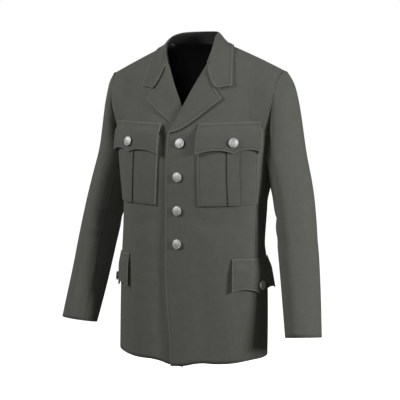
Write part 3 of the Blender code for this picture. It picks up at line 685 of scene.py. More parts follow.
def along_loop(points, share):
    """The point a share of the way round a closed run of points, by length."""
    points = np.array(points)
    lengths = np.linalg.norm(np.diff(points, axis=0), axis=1)
    ends = np.concatenate([[0.0], np.cumsum(lengths)])
    at = (share % 1.0) * ends[-1]
    return np.array([np.interp(at, ends, points[:, axis]) for axis in range(3)])


def sleeve_ring(share, z):
    """Point of the sleeve at height z; share 0 is outside, 0.25 front and 0.5 inside.

    Towards the cuff the rings tilt until they lie square to the forearm.
    """
    _, centre_x, centre_y, half_width, half_depth = section_at(SLEEVE_SECTIONS, z)
    turn = share * 2 * math.pi
    x = half_width * powered(math.cos(turn), SLEEVE_POWER)
    y = -half_depth * powered(math.sin(turn), SLEEVE_POWER)
    tilt = smooth((TILT_Z - z) / (TILT_Z - CUFF_Z))
    rise = tilt * (CUFF_TILT_X * x - CUFF_TILT_Y * y)
    return np.array([centre_x + x, centre_y + y, z + rise])


ARMHOLE = armhole_loop()


def sleeve_form(share, down):
    """down runs from the armhole (0) to the upper arm (1) and the cuff (2)."""
    if down >= 1:
        return sleeve_ring(share, lerp(SLEEVE_TOP_Z, CUFF_Z, down - 1))
    turn = share * 2 * math.pi
    outside = (1 + math.cos(turn)) / 2
    leave = unit(
        np.array([0.12 + 0.50 * outside, -0.30 * math.sin(turn), -(1 - 0.30 * outside)])
    )
    start = along_loop(ARMHOLE, share) + leave * SLEEVE_START
    start[0] += SLEEVE_START * (1 - outside)
    end = sleeve_ring(share, SLEEVE_TOP_Z)
    arrive = unit(sleeve_ring(share, SLEEVE_TOP_Z - 0.01) - end)
    length = np.linalg.norm(end - start)
    return hermite(start, leave * length * 0.55, end, arrive * length, down)


def tree_of(*grids):
    """One search tree over the outer faces of these sheets."""
    points, faces = [], []
    for grid in grids:
        start = len(points)
        tall, wide = grid.shape[:2]
        points += grid.reshape(-1, 3).tolist()
        for r in range(tall - 1):
            for c in range(wide - 1):
                corner = start + r * wide + c
                faces.append((corner, corner + 1, corner + wide + 1, corner + wide))
    return BVHTree.FromPolygons(points, faces)


def kept_clear(rows, tree, lift, reach=0.06):
    """Rows of points, each pushed out to at least lift from the sheets below it."""
    cleared = []
    for row in rows:
        moved = []
        for point in row:
            near, normal, _, distance = tree.find_nearest(Vector(point))
            if near is not None and distance < reach:
                height = (Vector(point) - near).dot(normal)
                aside = (Vector(point) - near - normal * height).length
                if height < lift and aside < 0.004:
                    point = point + np.array(normal) * (lift - height)
            moved.append(point)
        cleared.append(moved)
    return cleared


BODY_TREE = tree_of(np.array(front_grid), np.array(side_rows()), np.array(back_rows()))


def sleeve_rows(start, end, columns):
    gap = SEAM_GAP / SLEEVE_ROUND
    shares = spaced(end - gap, start + gap, columns, SEAM_EDGE / SLEEVE_ROUND)
    downs = steps(2, 1, 9) + steps(1, 0, 6)[1:]
    rows = [[sleeve_form(share, down) for share in shares] for down in downs]
    body_rows = kept_clear(rows[:-1], BODY_TREE, 0.0019, reach=0.05)
    return body_rows + rows[-1:]


UNDER_SLEEVE = (SLEEVE_FRONT_SEAM, SLEEVE_BACK_SEAM)
TOP_SLEEVE = (SLEEVE_BACK_SEAM - 1, SLEEVE_FRONT_SEAM)
SLEEVE_REACH = 0.0011
ARMHOLE_REACH = 0.0060
sleeve_seams = {"left": SLEEVE_REACH, "right": SLEEVE_REACH, "top": ARMHOLE_REACH}
for piece, span, columns in (("top", TOP_SLEEVE, 15), ("under", UNDER_SLEEVE, 8)):
    sleeve = sleeve_rows(*span, columns)
    dressed(f"left_sleeve_{piece}", sleeve, CLOTH, count=5, sewn=sleeve_seams)
    dressed(f"right_sleeve_{piece}", mirrored(sleeve), CLOTH, count=5, sewn=sleeve_seams)


# Lapels
# Each lapel is the front's facing turned back over the chest along the roll line. Its edge is
# pressed thin and stitched all round, and its tip stands a little off the chest.

GORGE_Z = -0.044
LAPEL_RADIUS = CLOTH / 2 + LAYER_GAP + FACING
LAPEL_OUTLINE = (
    (0.00, -0.0270, -0.2055),
    (0.14, 0.0030, -0.1970),
    (0.36, 0.0445, -0.1690),
    (0.60, 0.0985, -0.1235),
    (0.78, 0.0804, -0.0990),
    (0.90, 0.0665, -0.0740),
    (1.00, 0.0565, -0.0480),
)
LAPEL_CORNERS = (0.60, 0.78)
LAPEL_EDGE_LIFT = 0.0020
LAPEL_LIFT = LAYER_GAP + FACING + 0.0005
LAPEL_FREE_Z = -0.150


def lapel_edge(share):
    """x and z of the lapel's outer edge; its two corners stay sharp."""
    table = np.array(LAPEL_OUTLINE)
    low, high = 0.0, 1.0
    for corner in LAPEL_CORNERS:
        if share <= corner:
            high = min(high, corner)
        else:
            low = max(low, corner)
    inside = [row[1:] for row in table if low - 1e-9 <= row[0] <= high + 1e-9]
    return through(inside, (share - low) / (high - low))


def curl(across, up, normal, angle):
    """Point of the roll that wraps the front's edge; angle 180 is inside, 0 outside."""
    edge = front_form(across, up)
    outwards = unit(front_form(across - 0.01, up) - edge)
    centre = edge - normal * CLOTH / 2
    return centre + LAPEL_RADIUS * (outwards * math.sin(angle) + normal * math.cos(angle))


def lapel_rows(swell):
    """The lapel; swell says how much it stands off the front above and at the crossing."""
    shares = steps(0, 0.60, 9) + steps(0.60, 0.78, 3)[1:] + steps(0.78, 1, 4)[1:]
    rows = []
    for share in shares:
        z = lerp(BREAK_Z + 0.004, GORGE_Z, share)
        _, up = locate(roll_x(z), z, (0.05, 1.0))
        start = edge_start(up)
        normal = normal_of(front_form, start, up)
        row = [curl(start, up, normal, math.radians(a)) for a in (130, 95, 60, 28)]
        free = max(swell, smooth((z - LAPEL_FREE_Z) / 0.03))
        edge_x, edge_z = lapel_edge(share)
        from_x, _, from_z = front_form(start, up)
        for t in steps(0, 1, 6)[1:]:
            swing = 0.0012 * math.sin(math.pi * t) + LAPEL_EDGE_LIFT * t * t
            lift = LAPEL_LIFT + free * swing
            row.append(on_front(lerp(from_x, edge_x, t), lerp(from_z, edge_z, t), lift))
        rows.append(row)
    return rows


def sewn_in(rows):
    """The lapel's rows with its top edge drawn on under the collar, where it is sewn in."""
    last, before = np.array(rows[-1]), np.array(rows[-2])
    along = last - before
    along = along / np.linalg.norm(along, axis=1, keepdims=True)
    inwards = -grid_normals(np.array(rows))[-1]
    return rows + [list(last + along * 0.0072 + inwards * 0.0010)]


left_lapel_rows = sewn_in(lapel_rows(1.0))
left_hold = (("left_front_wool",), 6, "folded", False)
LEFT_LAPEL = dressed("left_lapel", left_lapel_rows, FACING, ("right",), *left_hold)
right_lapel_rows = sewn_in(mirrored(tucked(lapel_rows(0.0))))
right_hold = (("right_front_wool",), 6, "folded", False)
RIGHT_LAPEL = dressed("right_lapel", right_lapel_rows, FACING, ("left",), *right_hold)


# Collar
# The collar's stand rises round the neck in black cloth, painted shade for the dark inside of the neck, and
# the wool fall turns down over it.
# The fall meets each lapel at the notch, and its edge and ends are stitched like the lapels.

ROLL_TOP = (
    (0.0000, 0.0500, 0.0400),
    (0.0340, 0.0410, 0.0390),
    (0.0520, 0.0140, 0.0350),
    (0.0605, -0.0200, 0.0240),
    (0.0630, -0.0420, 0.0010),
)
FALL_EDGE = (
    (0.0000, 0.0960, -0.0130),
    (0.0450, 0.0840, -0.0110),
    (0.0770, 0.0480, -0.0040),
    (0.0965, 0.0000, 0.0010),
    (0.1090, -0.0320, -0.0400),
    (0.1193, -0.0600, -0.0930),
)
COLLAR_END_Z = -0.038
NECK_POINT_SHARE = 0.5
FOOT_GAP = 0.0038
FALL_LIFT = FACING + 0.0028
ROLL_OVER = 0.0014
ROLL_COVER = 0.0034
COLLAR_SHARES = steps(0, 1, 13)


def front_neck(share):
    """Edge of the front from the shoulder seam (0) down to the collar's end (1)."""
    top = front_form(edge_start(2.0), 2.0)[2]
    z = lerp(top, COLLAR_END_Z, share)
    _, up = locate(roll_x(z), z, (0.05, 1.8))
    start = edge_start(up)
    edge = front_form(start, up)
    return edge, unit(front_form(start - 0.01, up) - edge)


def neckline(share):
    """Point of the neck's edge and the direction away from its cloth, from the back's centre."""
    if share >= NECK_POINT_SHARE:
        return front_neck((share - NECK_POINT_SHARE) / (1 - NECK_POINT_SHARE))
    across = NECK_SHARE * share / NECK_POINT_SHARE
    edge = back_form(across, 2.0)
    return edge, unit(edge - back_form(across, 1.98))


def stand_edges(share):
    """Foot and top of the stand."""
    edge, away = neckline(share)
    foot = edge + away * FOOT_GAP
    end, away = neckline(1.0)
    return foot, through([*ROLL_TOP, end + away * 0.0042], share)


def stand_rows():
    halves = [stand_edges(share) for share in COLLAR_SHARES]
    return [[lerp(foot, top, t) for foot, top in halves] for t in steps(0, 1, 4)]


def gorge_line(t):
    """End of the fall: along the lapel's seam to the notch, then along its own front edge."""
    notch, middle, end = (np.array(LAPEL_OUTLINE[i][1:]) for i in (4, 5, 6))
    start = np.array([roll_x(COLLAR_END_Z), COLLAR_END_Z])
    corner = np.array([FALL_EDGE[-1][0], FALL_EDGE[-1][2]])
    if t < 0.6:
        x, z = through([start, end, middle, notch], t / 0.6)
    else:
        x, z = lerp(notch, corner, (t - 0.6) / 0.4)
    aside = 0.0003 * smooth(t / 0.1)
    return on_front(x + aside, z + aside, LAPEL_LIFT + 0.001 + LAPEL_EDGE_LIFT * t)


def fall_line(share, t):
    """The fall from its roll (0) to its edge (1)."""
    _, top = stand_edges(share)
    edge = through(FALL_EDGE, share)
    over = unit(np.array([edge[0] - top[0], edge[1] - top[1], 0.0]))
    start = top - over * ROLL_OVER + np.array([0.0, 0.0, ROLL_COVER])
    length = np.linalg.norm(edge - start)
    return hermite(start, over * length * 0.50, edge, (edge - start) * 0.9, t)


def fall_rows():
    rows = []
    for t in steps(0, 1, 8):
        row = []
        for share in COLLAR_SHARES:
            pull = smooth((share - 0.62) / 0.38)
            row.append(fall_line(share, t) + pull * (gorge_line(t) - fall_line(1.0, t)))
        rows.append(row)
    return rows


def whole_collar(half):
    """Both halves of a row of points that starts at the centre of the back."""
    flip = np.array([-1.0, 1.0, 1.0])
    return [[p * flip for p in reversed(row[1:])] + row for row in half]


def black_neck_finish():
    """Black cloth: a smooth close weave with a little shine. On the collar stand its black is painted shade.
    """
    settings = {"Roughness": 0.72, "Specular IOR Level": 0.15}
    made, tree, shader = finish("black_neck_cloth", settings)
    woven = {"Vector": added(tree, "ShaderNodeTexCoord").outputs["Object"], "Scale": 600.0}
    threads = added(tree, "ShaderNodeTexNoise", woven).outputs["Fac"]
    tone = ramp(tree, threads, ((0.0, (0.018, 0.018, 0.018)), (1.0, (0.028, 0.028, 0.029))))
    tree.links.new(tone, shader.inputs["Base Color"])
    close = {"Strength": 0.2, "Distance": 0.0003, "Height": threads}
    tree.links.new(added(tree, "ShaderNodeBump", close).outputs["Normal"], shader.inputs["Normal"])
    return made


BLACK = black_neck_finish()


def black_sheet(name, rows, sewn=None, inset=0.0):
    """A piece of the black cloth that stands for the solid of the same name."""
    rows = np.array(rows)
    rows = rows - grid_normals(rows) * inset
    piece, flat, area, _ = cloth_piece(name + "_cloth", rows, LINING, BLACK, (), 4, False, sewn)
    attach(piece, "root")
    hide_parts(name)


STAND_REACH = 0.0046
stand = [list(reversed(row)) for row in whole_collar(stand_rows())]
# Painted shade: the stand, grey-green wool in the real collar, is made in the black cloth so that the inside
# of the neck shows dark.
black_sheet("collar_stand", stand, {"foot": STAND_REACH})
collar_bed = tree_of(
    np.array(front_grid),
    np.array(mirrored(tucked(front_grid))),
    np.array(back_rows()),
    np.array(mirrored(back_rows())),
    np.array(lapel_rows(1.0)),
    np.array(right_lapel_rows),
)
fall = whole_collar(fall_rows())
fall = fall[:2] + kept_clear(fall[2:], collar_bed, FALL_LIFT)
collar_sides = ("left", "right", "top")
FALL = dressed("collar_fall", fall, FACING, collar_sides, ("collar_stand_cloth",), 6, "folded", False)


# Black cloth inside the upper back
# A sheet of black cloth is set into the back below the neck, where it shows through the open collar.

LINING_Z = -0.430


def lining_rows():
    """The back's own rows from the waist up, moved in by the cloth and a small gap."""
    acrosses, ups = back_grid()
    kept = [up for up in ups if back_form(0, up)[2] > LINING_Z or up > 1][:-1]
    rows = []
    for up in kept:
        row = []
        for across in acrosses[1:]:
            inwards = normal_of(back_form, across, up)
            row.append(back_form(across, up) + inwards * (CLOTH + LAYER_GAP))
        rows.append(row)
    return rows


def whole_lining():
    flip = np.array([-1.0, 1.0, 1.0])
    return [row + [p * flip for p in reversed(row)] for row in lining_rows()]


LINING_INSET = 0.0018
black_sheet("back_lining", whole_lining(), inset=LINING_INSET)


# Chest pockets
# Each chest pocket is a patch of the wool with a box pleat pressed down its middle. A flap with
# three points covers its top, stitched all round, along its top seam too.

CHEST_FLAP_TOP = -0.179
CHEST_FLAP_DROP = 0.074
CHEST_POCKET_FOOT = -0.376
CHEST_INNER = 0.050
CHEST_INNER_FOOT = 0.056
CHEST_SLANT = 0.007
FLAP_CORNER_LIFT = 0.0060
INNER_CORNER_LIFT = 0.0030
CHEST_OUTER_TOP = 0.191
CHEST_OUTER_FOOT = 0.181
PLEAT_WIDTH = 0.031
POCKET_LIFT = LAYER_GAP + FACING + 0.0004
PLEAT_LIFT = POCKET_LIFT + 0.0022
FLAP_LIFT = PLEAT_LIFT + LAYER_GAP + FACING
CHEST_WIDTH = 0.155
PLEAT_HALF = PLEAT_WIDTH / 2 / CHEST_WIDTH
CHEST_CENTRE = 0.51
PLEAT_FOLD = 0.005
PLEAT_SIDE = (-PLEAT_HALF - PLEAT_FOLD, -PLEAT_HALF + PLEAT_FOLD)


def chest_outer(z):
    """x of the pocket's outer edge at height z."""
    share = (z - CHEST_POCKET_FOOT) / (CHEST_FLAP_TOP - CHEST_POCKET_FOOT)
    return lerp(CHEST_OUTER_FOOT, CHEST_OUTER_TOP, share)


def chest_inner(z):
    """x of the pocket's inner edge at height z."""
    share = (z - CHEST_POCKET_FOOT) / (CHEST_FLAP_TOP - CHEST_POCKET_FOOT)
    return lerp(CHEST_INNER_FOOT, CHEST_INNER, share)


def chest_height(share, z):
    """The pocket and its flap sit a little higher towards the arm."""
    return z + CHEST_SLANT * (share - 0.5)


def chest_x(share, z):
    """x a share of the way across the pocket, spread evenly over the curved cloth."""
    low, high = (turn_at_x(x, z) for x in (chest_inner(z), chest_outer(z)))
    return body_point(lerp(low, high, share), z)[0]


def chest_pocket_rows():
    """The pocket's patch, with the box pleat down its middle raised from the same cloth."""
    left_fold = [CHEST_CENTRE + side for side in PLEAT_SIDE]
    right_fold = [CHEST_CENTRE - side for side in reversed(PLEAT_SIDE)]
    flat_left, flat_right = steps(0, left_fold[0], 4), steps(right_fold[1], 1, 4)
    shares = [*flat_left, left_fold[1], CHEST_CENTRE, right_fold[0], *flat_right]
    rows = []
    for z in steps(CHEST_POCKET_FOOT, CHEST_FLAP_TOP - 0.029, 7):
        row = []
        for share in shares:
            raised = abs(share - CHEST_CENTRE) < PLEAT_HALF
            lift = PLEAT_LIFT if raised else POCKET_LIFT
            row.append(on_front(chest_x(share, z), chest_height(share, z), lift))
        rows.append(row)
    return rows


def flap_drop(share, drop, corner):
    """How far the flap hangs at a share of its width: a middle point and shorter corners."""
    half = abs(share - 0.5) * 2
    arch = math.sin(math.pi * min(1.0, half)) ** 0.8
    return drop * (1 - 0.115 * arch - (1 - corner) * min(1.0, half))


def flap_lift(share, down, low, high):
    """Height of a flap over the cloth: low at its seam, high at its foot and corners."""
    corner = (abs(share - 0.5) * 2) ** 3
    corner_lift = FLAP_CORNER_LIFT if share > 0.5 else INNER_CORNER_LIFT
    return lerp(low, high + corner_lift * corner * down, smooth(down / 0.42))


def chest_flap_rows():
    rows = []
    for down in steps(1, 0, 6):
        row = []
        for share in steps(0, 1, 16):
            z = CHEST_FLAP_TOP - down * flap_drop(share, CHEST_FLAP_DROP, 1.01)
            lift = flap_lift(share, down, POCKET_LIFT, FLAP_LIFT + 0.0012)
            spread = share + (share - 0.5) * 0.03 * down
            row.append(on_front(chest_x(spread, z), chest_height(spread, z), lift))
        rows.append(row)
    return rows


def pair(name, rows, sides, count, shade=None):
    """The same piece on both sides of the jacket."""
    left_bed, right_bed = ("left_front_wool",), ("right_front_wool",)
    left = dressed("left_" + name, rows, FACING, sides, left_bed, count, "laid", shade=shade)
    other = None if shade is None else shade[::-1]
    across = mirrored(rows)
    right = dressed("right_" + name, across, FACING, sides, right_bed, count, "laid", shade=other)
    return left, right


# Columns of the pocket at which the pleat's two folds lie
FOLD_COLUMNS = (4, 8)


def pleat_shade(count):
    """Shade in the two folds of the pleat, column by column."""
    columns = np.arange((len(chest_pocket_rows()[0]) - 1) * count + 1)
    folds = (FOLD_COLUMNS[0] * count + 1, FOLD_COLUMNS[1] * count - 1)
    return sum(np.clip(1.15 - np.abs(columns - fold) / 2.2, 0, 1) for fold in folds)


PATCH_SIDES = ("left", "right", "foot")
FLAP_SIDES = ("left", "right", "foot", "top")
pair("chest_pocket", chest_pocket_rows(), PATCH_SIDES, 5, pleat_shade(5))
CHEST_FLAPS = pair("chest_flap", chest_flap_rows(), FLAP_SIDES, 5)


# Hip flaps
# A wider flap covers the inset pocket on each hip. It reaches round the side and its outer
# corner stands away from the jacket.

HIP_FLAP_TOP = -0.503
HIP_FLAP_DROP = 0.087
HIP_FLAP_WIDTH = 0.142
HIP_FLAP_INNER = 0.137


def hip_turn(share, z):
    """Turn at a share of the hip flap's width, spread evenly over the curved cloth."""
    start = turn_at_x(HIP_FLAP_INNER, z)
    turns = steps(start, start + math.radians(75), 30)
    run = [body_point(turn, z) for turn in turns]
    lengths = np.linalg.norm(np.diff(run, axis=0), axis=1)
    ends = np.concatenate([[0.0], np.cumsum(lengths)])
    return float(np.interp(share * HIP_FLAP_WIDTH, ends, turns))


def on_body(turn, z, lift):
    step = 0.002
    along = body_point(turn + step, z) - body_point(turn - step, z)
    rise = body_point(turn, z + step) - body_point(turn, z - step)
    return body_point(turn, z) + unit(np.cross(along, rise)) * lift


def hip_flap_rows():
    rows = []
    for down in steps(1, 0, 8):
        row = []
        for share in steps(0, 1, 16):
            z = HIP_FLAP_TOP - down * flap_drop(share, HIP_FLAP_DROP, 0.92)
            lift = flap_lift(share, down, POCKET_LIFT, POCKET_LIFT + 0.0040)
            lift += 0.0060 * down * smooth((share - 0.5) / 0.5)
            spread = share + (share - 0.5) * 0.02 * down
            row.append(on_body(hip_turn(spread, z), z, lift))
        rows.append(row)
    return rows


HIP_FLAPS = pair("hip_flap", hip_flap_rows(), FLAP_SIDES, 5)


# Stitching
# One row of lock stitches in matching thread runs 6.5 mm inside every pressed edge: the left
# front, lapels, collar and flaps. Each stitch is 2.6 mm long and sinks into the wool.

STITCH_INSET = 0.0065
STITCH_LENGTH = 0.0026
STITCH_PITCH = 0.0034
STITCH_RADIUS = 0.00032


def stitch_path(grid, sides, inset):
    """Points and edges of the line on the sheet that lies inset from its free sides."""
    line = free_edge(grid, sides)
    tall, wide = grid.shape[:2]
    far = distance_to(grid.reshape(-1, 3), line).reshape(tall, wide)
    lift = grid_normals(grid) * STITCH_RADIUS * 0.5
    raised = grid + lift
    points, edges, seen = [], [], {}

    def crossing(a, b):
        key = (a, b)
        if key not in seen:
            share = (inset - far[a]) / (far[b] - far[a])
            seen[key] = len(points)
            points.append(lerp(raised[a], raised[b], share))
        return seen[key]

    for r in range(tall - 1):
        for c in range(wide - 1):
            for tri in (((r, c), (r, c + 1), (r + 1, c + 1)), ((r, c), (r + 1, c + 1), (r + 1, c))):
                cuts = []
                for a, b in ((tri[0], tri[1]), (tri[1], tri[2]), (tri[0], tri[2])):
                    a, b = (a, b) if a < b else (b, a)
                    if (far[a] < inset) != (far[b] < inset):
                        cuts.append(crossing(a, b))
                if len(cuts) == 2:
                    edges.append(tuple(cuts))
    return points, edges


def thread_finish():
    """Matching thread, a shade lighter than the wool, with a twist along it."""
    made, tree, shader = finish("grey_green_thread", {"Roughness": 0.6})
    twisted = {"Vector": added(tree, "ShaderNodeTexCoord").outputs["Object"], "Scale": 1500.0}
    twist = added(tree, "ShaderNodeTexNoise", twisted).outputs["Fac"]
    tone = ramp(tree, twist, ((0.0, (0.085, 0.088, 0.078)), (1.0, (0.150, 0.154, 0.138))))
    tree.links.new(tone, shader.inputs["Base Color"])
    return made


THREAD = thread_finish()


def stitch_tree():
    """Nodes that lay stitches end to end along a line of edges."""
    tree = bpy.data.node_groups.new("row_of_stitches", "GeometryNodeTree")
    face = tree.interface
    face.new_socket("Line", in_out="INPUT", socket_type="NodeSocketGeometry")
    for label in ("Pitch", "Length", "Radius"):
        face.new_socket(label, in_out="INPUT", socket_type="NodeSocketFloat")
    face.new_socket("Thread", in_out="INPUT", socket_type="NodeSocketMaterial")
    face.new_socket("Stitches", in_out="OUTPUT", socket_type="NodeSocketGeometry")
    given = added(tree, "NodeGroupInput").outputs
    curve = added(tree, "GeometryNodeMeshToCurve", {"Mesh": given["Line"]}).outputs["Curve"]
    run = {"Curve": curve, "Length": given["Pitch"]}
    evened = added(tree, "GeometryNodeResampleCurve", run, mode="LENGTH").outputs["Curve"]
    along = {"Vector": added(tree, "GeometryNodeInputTangent").outputs["Tangent"]}
    turn = added(tree, "FunctionNodeAlignRotationToVector", along, axis="Z").outputs["Rotation"]
    size = {"Vertices": 6, "Depth": given["Length"], "Radius": given["Radius"]}
    stitch = added(tree, "GeometryNodeMeshCylinder", size).outputs["Mesh"]
    row = {"Points": evened, "Instance": stitch, "Rotation": turn}
    laid = added(tree, "GeometryNodeInstanceOnPoints", row).outputs["Instances"]
    real = added(tree, "GeometryNodeRealizeInstances", {"Geometry": laid}).outputs["Geometry"]
    thread = {"Geometry": real, "Material": given["Thread"]}
    coloured = added(tree, "GeometryNodeSetMaterial", thread).outputs["Geometry"]
    added(tree, "NodeGroupOutput", {"Stitches": coloured})
    return tree


STITCH_TREE = stitch_tree()


def stitched(name, paths):
    """One mesh of stitches along these paths."""
    points, edges = [], []
    for path_points, path_edges in paths:
        start = len(points)
        points += [tuple(point) for point in path_points]
        edges += [(start + a, start + b) for a, b in path_edges]
    guide = bpy.data.meshes.new(name + "_guide")
    guide.from_pydata(points, edges, [])
    maker = bpy.data.objects.new(name + "_guide", guide)
    bpy.context.scene.collection.objects.link(maker)
    laid = maker.modifiers.new("stitches", "NODES")
    laid.node_group = STITCH_TREE
    wanted = {"Pitch": STITCH_PITCH, "Length": STITCH_LENGTH, "Radius": STITCH_RADIUS, "Thread": THREAD}
    for item in STITCH_TREE.interface.items_tree:
        if item.in_out == "INPUT" and item.name in wanted:
            laid[item.identifier] = wanted[item.name]
    seen = maker.evaluated_get(bpy.context.evaluated_depsgraph_get())
    mesh = bpy.data.meshes.new_from_object(seen)
    mesh.name = name
    maker.modifiers.clear()
    bpy.data.objects.remove(maker)
    if not mesh.materials:
        mesh.materials.append(THREAD)
    piece = bpy.data.objects.new(name, mesh)
    bpy.context.scene.collection.objects.link(piece)
    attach(piece, "root")
    return piece


stitched("front_stitches", [stitch_path(LEFT_FRONT[:160], ("left",), STITCH_INSET)])
lapel_lines = [
    stitch_path(LEFT_LAPEL[:, 12:], ("right",), STITCH_INSET),
    stitch_path(RIGHT_LAPEL[:, :-12], ("left",), STITCH_INSET),
]
stitched("lapel_stitches", lapel_lines)
stitched("collar_stitches", [stitch_path(FALL, collar_sides, STITCH_INSET)])
flap_lines = [stitch_path(flap, FLAP_SIDES, STITCH_INSET) for flap in (*CHEST_FLAPS, *HIP_FLAPS)]
stitched("flap_stitches", flap_lines)


# Buttons
# Eight domed metal buttons with a pebbled face and a plain raised rim: four down the front and
# one on each flap. Each is pressed from sheet metal and held by a shank behind it.

BUTTON_RADIUS = 0.0115


def metal_finish():
    """Matt silver: a fine pebbled face, bright on its grains and dull between them."""
    made, tree, shader = finish("pebbled_silver", {"Metallic": 0.6, "Roughness": 0.5})
    pebbled = {"Vector": added(tree, "ShaderNodeTexCoord").outputs["Object"], "Scale": 900.0}
    grains = added(tree, "ShaderNodeTexVoronoi", pebbled).outputs["Distance"]
    tone = ramp(tree, grains, ((0.0, (0.80, 0.80, 0.78)), (0.8, (0.34, 0.34, 0.33))))
    tree.links.new(tone, shader.inputs["Base Color"])
    raised = {"Strength": 0.8, "Distance": 0.0004, "Height": grains}
    pebbles = added(tree, "ShaderNodeBump", raised, invert=True).outputs["Normal"]
    tree.links.new(pebbles, shader.inputs["Normal"])
    return made


SILVER = metal_finish()
BUTTON_PROFILE = (
    (0.0000, 0.00620),
    (0.0030, 0.00608),
    (0.0060, 0.00572),
    (0.0085, 0.00515),
    (0.0097, 0.00470),
    (0.0100, 0.00455),
    (0.0103, 0.00470),
    (0.0109, 0.00480),
    (0.0114, 0.00440),
    (0.0115, 0.00370),
    (0.0111, 0.00300),
    (0.0104, 0.00262),
    (0.0046, 0.00235),
    (0.0040, 0.00200),
    (0.0039, 0.00000),
    (0.0000, 0.00000),
)
BUTTON_NODES = [f"front_button_{number}" for number in (1, 2, 3, 4)]
BUTTON_NODES += [f"{side}_{place}_button" for side in ("left", "right") for place in ("chest", "hip")]


def button(node):
    """A finely turned button where the solid of that name stands."""
    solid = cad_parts[node].data
    spots = np.array([tuple(v.co) for v in solid.vertices])
    middle = spots.mean(axis=0)
    _, _, turns = np.linalg.svd(spots - middle)
    axis = turns[2]
    body_middle = np.array([0.0, -0.01, middle[2]])
    axis = axis if np.dot(axis, middle - body_middle) > 0 else -axis
    heights = (spots - middle) @ axis
    rim = spots[np.linalg.norm(spots - middle - np.outer(heights, axis), axis=1) > 0.9 * BUTTON_RADIUS]
    centre = rim.mean(axis=0)
    centre = centre + axis * (heights.min() - (centre - middle) @ axis)
    mesh = bpy.data.meshes.new(node + "_silver")
    edges = [(i, i + 1) for i in range(len(BUTTON_PROFILE) - 1)]
    mesh.from_pydata([(x, 0.0, z) for x, z in BUTTON_PROFILE], edges, [])
    maker = bpy.data.objects.new(node + "_maker", mesh)
    bpy.context.scene.collection.objects.link(maker)
    turned = maker.modifiers.new("turned", "SCREW")
    turned.steps = 48
    turned.render_steps = 48
    turned.use_merge_vertices = True
    turned.merge_threshold = 0.00001
    seen = maker.evaluated_get(bpy.context.evaluated_depsgraph_get())
    made = bpy.data.meshes.new_from_object(seen)
    bpy.data.objects.remove(maker)
    turn = Vector(axis).to_track_quat("Z", "Y").to_matrix().to_4x4()
    made.transform(Matrix.Translation(Vector(centre)) @ turn)
    made.materials.clear()
    made.materials.append(SILVER)
    made.shade_smooth()
    piece = bpy.data.objects.new(node + "_silver", made)
    bpy.context.scene.collection.objects.link(piece)
    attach(piece, "root")
    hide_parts(node)


for node in BUTTON_NODES:
    button(node)


# Studio
# The jacket hangs above a pale floor between two soft lamps, one on each side, with a weak one in
# front and one behind, so that the folds, the sides and the insides of the sleeves fall into shade.

def studio():
    floor_mesh = bpy.data.meshes.new("studio_floor")
    reach, level = 30.0, -1.45
    corners = [(-reach, -reach, level), (reach, -reach, level), (reach, reach, level), (-reach, reach, level)]
    floor_mesh.from_pydata(corners, [], [(0, 1, 2, 3)])
    floor = bpy.data.objects.new("studio_floor", floor_mesh)
    bpy.context.scene.collection.objects.link(floor)
    paint = bpy.data.materials.new("pale_floor_paint")
    paint.use_nodes = True
    nodes, links = paint.node_tree.nodes, paint.node_tree.links
    shader = nodes["Principled BSDF"]
    shader.inputs["Roughness"].default_value = 0.9
    shader.inputs["Emission Color"].default_value = (1.0, 1.0, 1.0, 1.0)
    shader.inputs["Emission Strength"].default_value = 1.0
    place = nodes.new("ShaderNodeTexCoord")
    grain = nodes.new("ShaderNodeTexNoise")
    grain.inputs["Scale"].default_value = 2.0
    links.new(place.outputs["Object"], grain.inputs["Vector"])
    tone = nodes.new("ShaderNodeValToRGB")
    tone.color_ramp.elements[0].color = (0.90, 0.90, 0.90, 1.0)
    tone.color_ramp.elements[1].color = (0.94, 0.94, 0.94, 1.0)
    links.new(grain.outputs["Fac"], tone.inputs["Fac"])
    links.new(tone.outputs["Color"], shader.inputs["Base Color"])
    floor_mesh.materials.append(paint)
    floor.visible_diffuse = False
    floor.visible_glossy = False


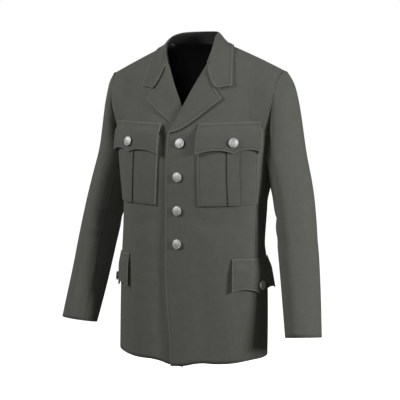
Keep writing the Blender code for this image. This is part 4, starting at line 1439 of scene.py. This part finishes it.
def lamp(name, azimuth, elevation, distance, size, power, tint=(1.0, 1.0, 1.0)):
    """A soft square lamp aimed at the middle of the jacket."""
    light = bpy.data.lights.new(name, "AREA")
    light.shape = "SQUARE"
    light.size = size
    light.energy = power
    light.color = tint
    made = bpy.data.objects.new(name, light)
    az, el = math.radians(azimuth), math.radians(elevation)
    out = Vector((math.sin(az) * math.cos(el), -math.cos(az) * math.cos(el), math.sin(el)))
    made.location = Vector((0.0, 0.0, -0.36)) + out * distance
    made.rotation_euler = out.to_track_quat("Z", "Y").to_euler()
    bpy.context.scene.collection.objects.link(made)


studio()
lamp("left_lamp", -48, 30, 3.2, 0.9, 68)
lamp("right_lamp", 76, 14, 3.0, 0.6, 76)
lamp("front_lamp", 14, 6, 3.4, 1.2, 13)
lamp("back_lamp", 205, 16, 3.4, 1.2, 75)

world = bpy.data.worlds.new("studio_air")
bpy.context.scene.world = world
world.use_nodes = True
air, wires = world.node_tree.nodes, world.node_tree.links
seen_air = air["Background"]
seen_air.inputs["Color"].default_value = (1.0, 1.0, 1.0, 1.0)
seen_air.inputs["Strength"].default_value = 1.0
dim_air = air.new("ShaderNodeBackground")
dim_air.inputs["Color"].default_value = (1.0, 1.0, 1.0, 1.0)
dim_air.inputs["Strength"].default_value = 0.08
ray = air.new("ShaderNodeLightPath")
mixed = air.new("ShaderNodeMixShader")
wires.new(ray.outputs["Is Camera Ray"], mixed.inputs["Fac"])
wires.new(dim_air.outputs["Background"], mixed.inputs[1])
wires.new(seen_air.outputs["Background"], mixed.inputs[2])
wires.new(mixed.outputs["Shader"], air["World Output"].inputs["Surface"])

bpy.context.scene.view_settings.view_transform = "Standard"

CAMERA_AZIMUTH = math.radians(25)
CAMERA_DISTANCE = 3.2
CAMERA_HEIGHT = -0.105
CAMERA_PITCH = math.radians(4.8)
lens = bpy.data.cameras.new("photo_camera")
lens.sensor_width = 36.0
lens.lens = 116.6
lens.shift_x = 0.008
lens.clip_end = 200.0
camera = bpy.data.objects.new("photo_camera", lens)
camera.location = (
    math.sin(CAMERA_AZIMUTH) * CAMERA_DISTANCE,
    -math.cos(CAMERA_AZIMUTH) * CAMERA_DISTANCE,
    CAMERA_HEIGHT,
)
camera.rotation_euler = (math.radians(90) - CAMERA_PITCH, 0.0, CAMERA_AZIMUTH)
bpy.context.scene.collection.objects.link(camera)
bpy.context.scene.camera = camera
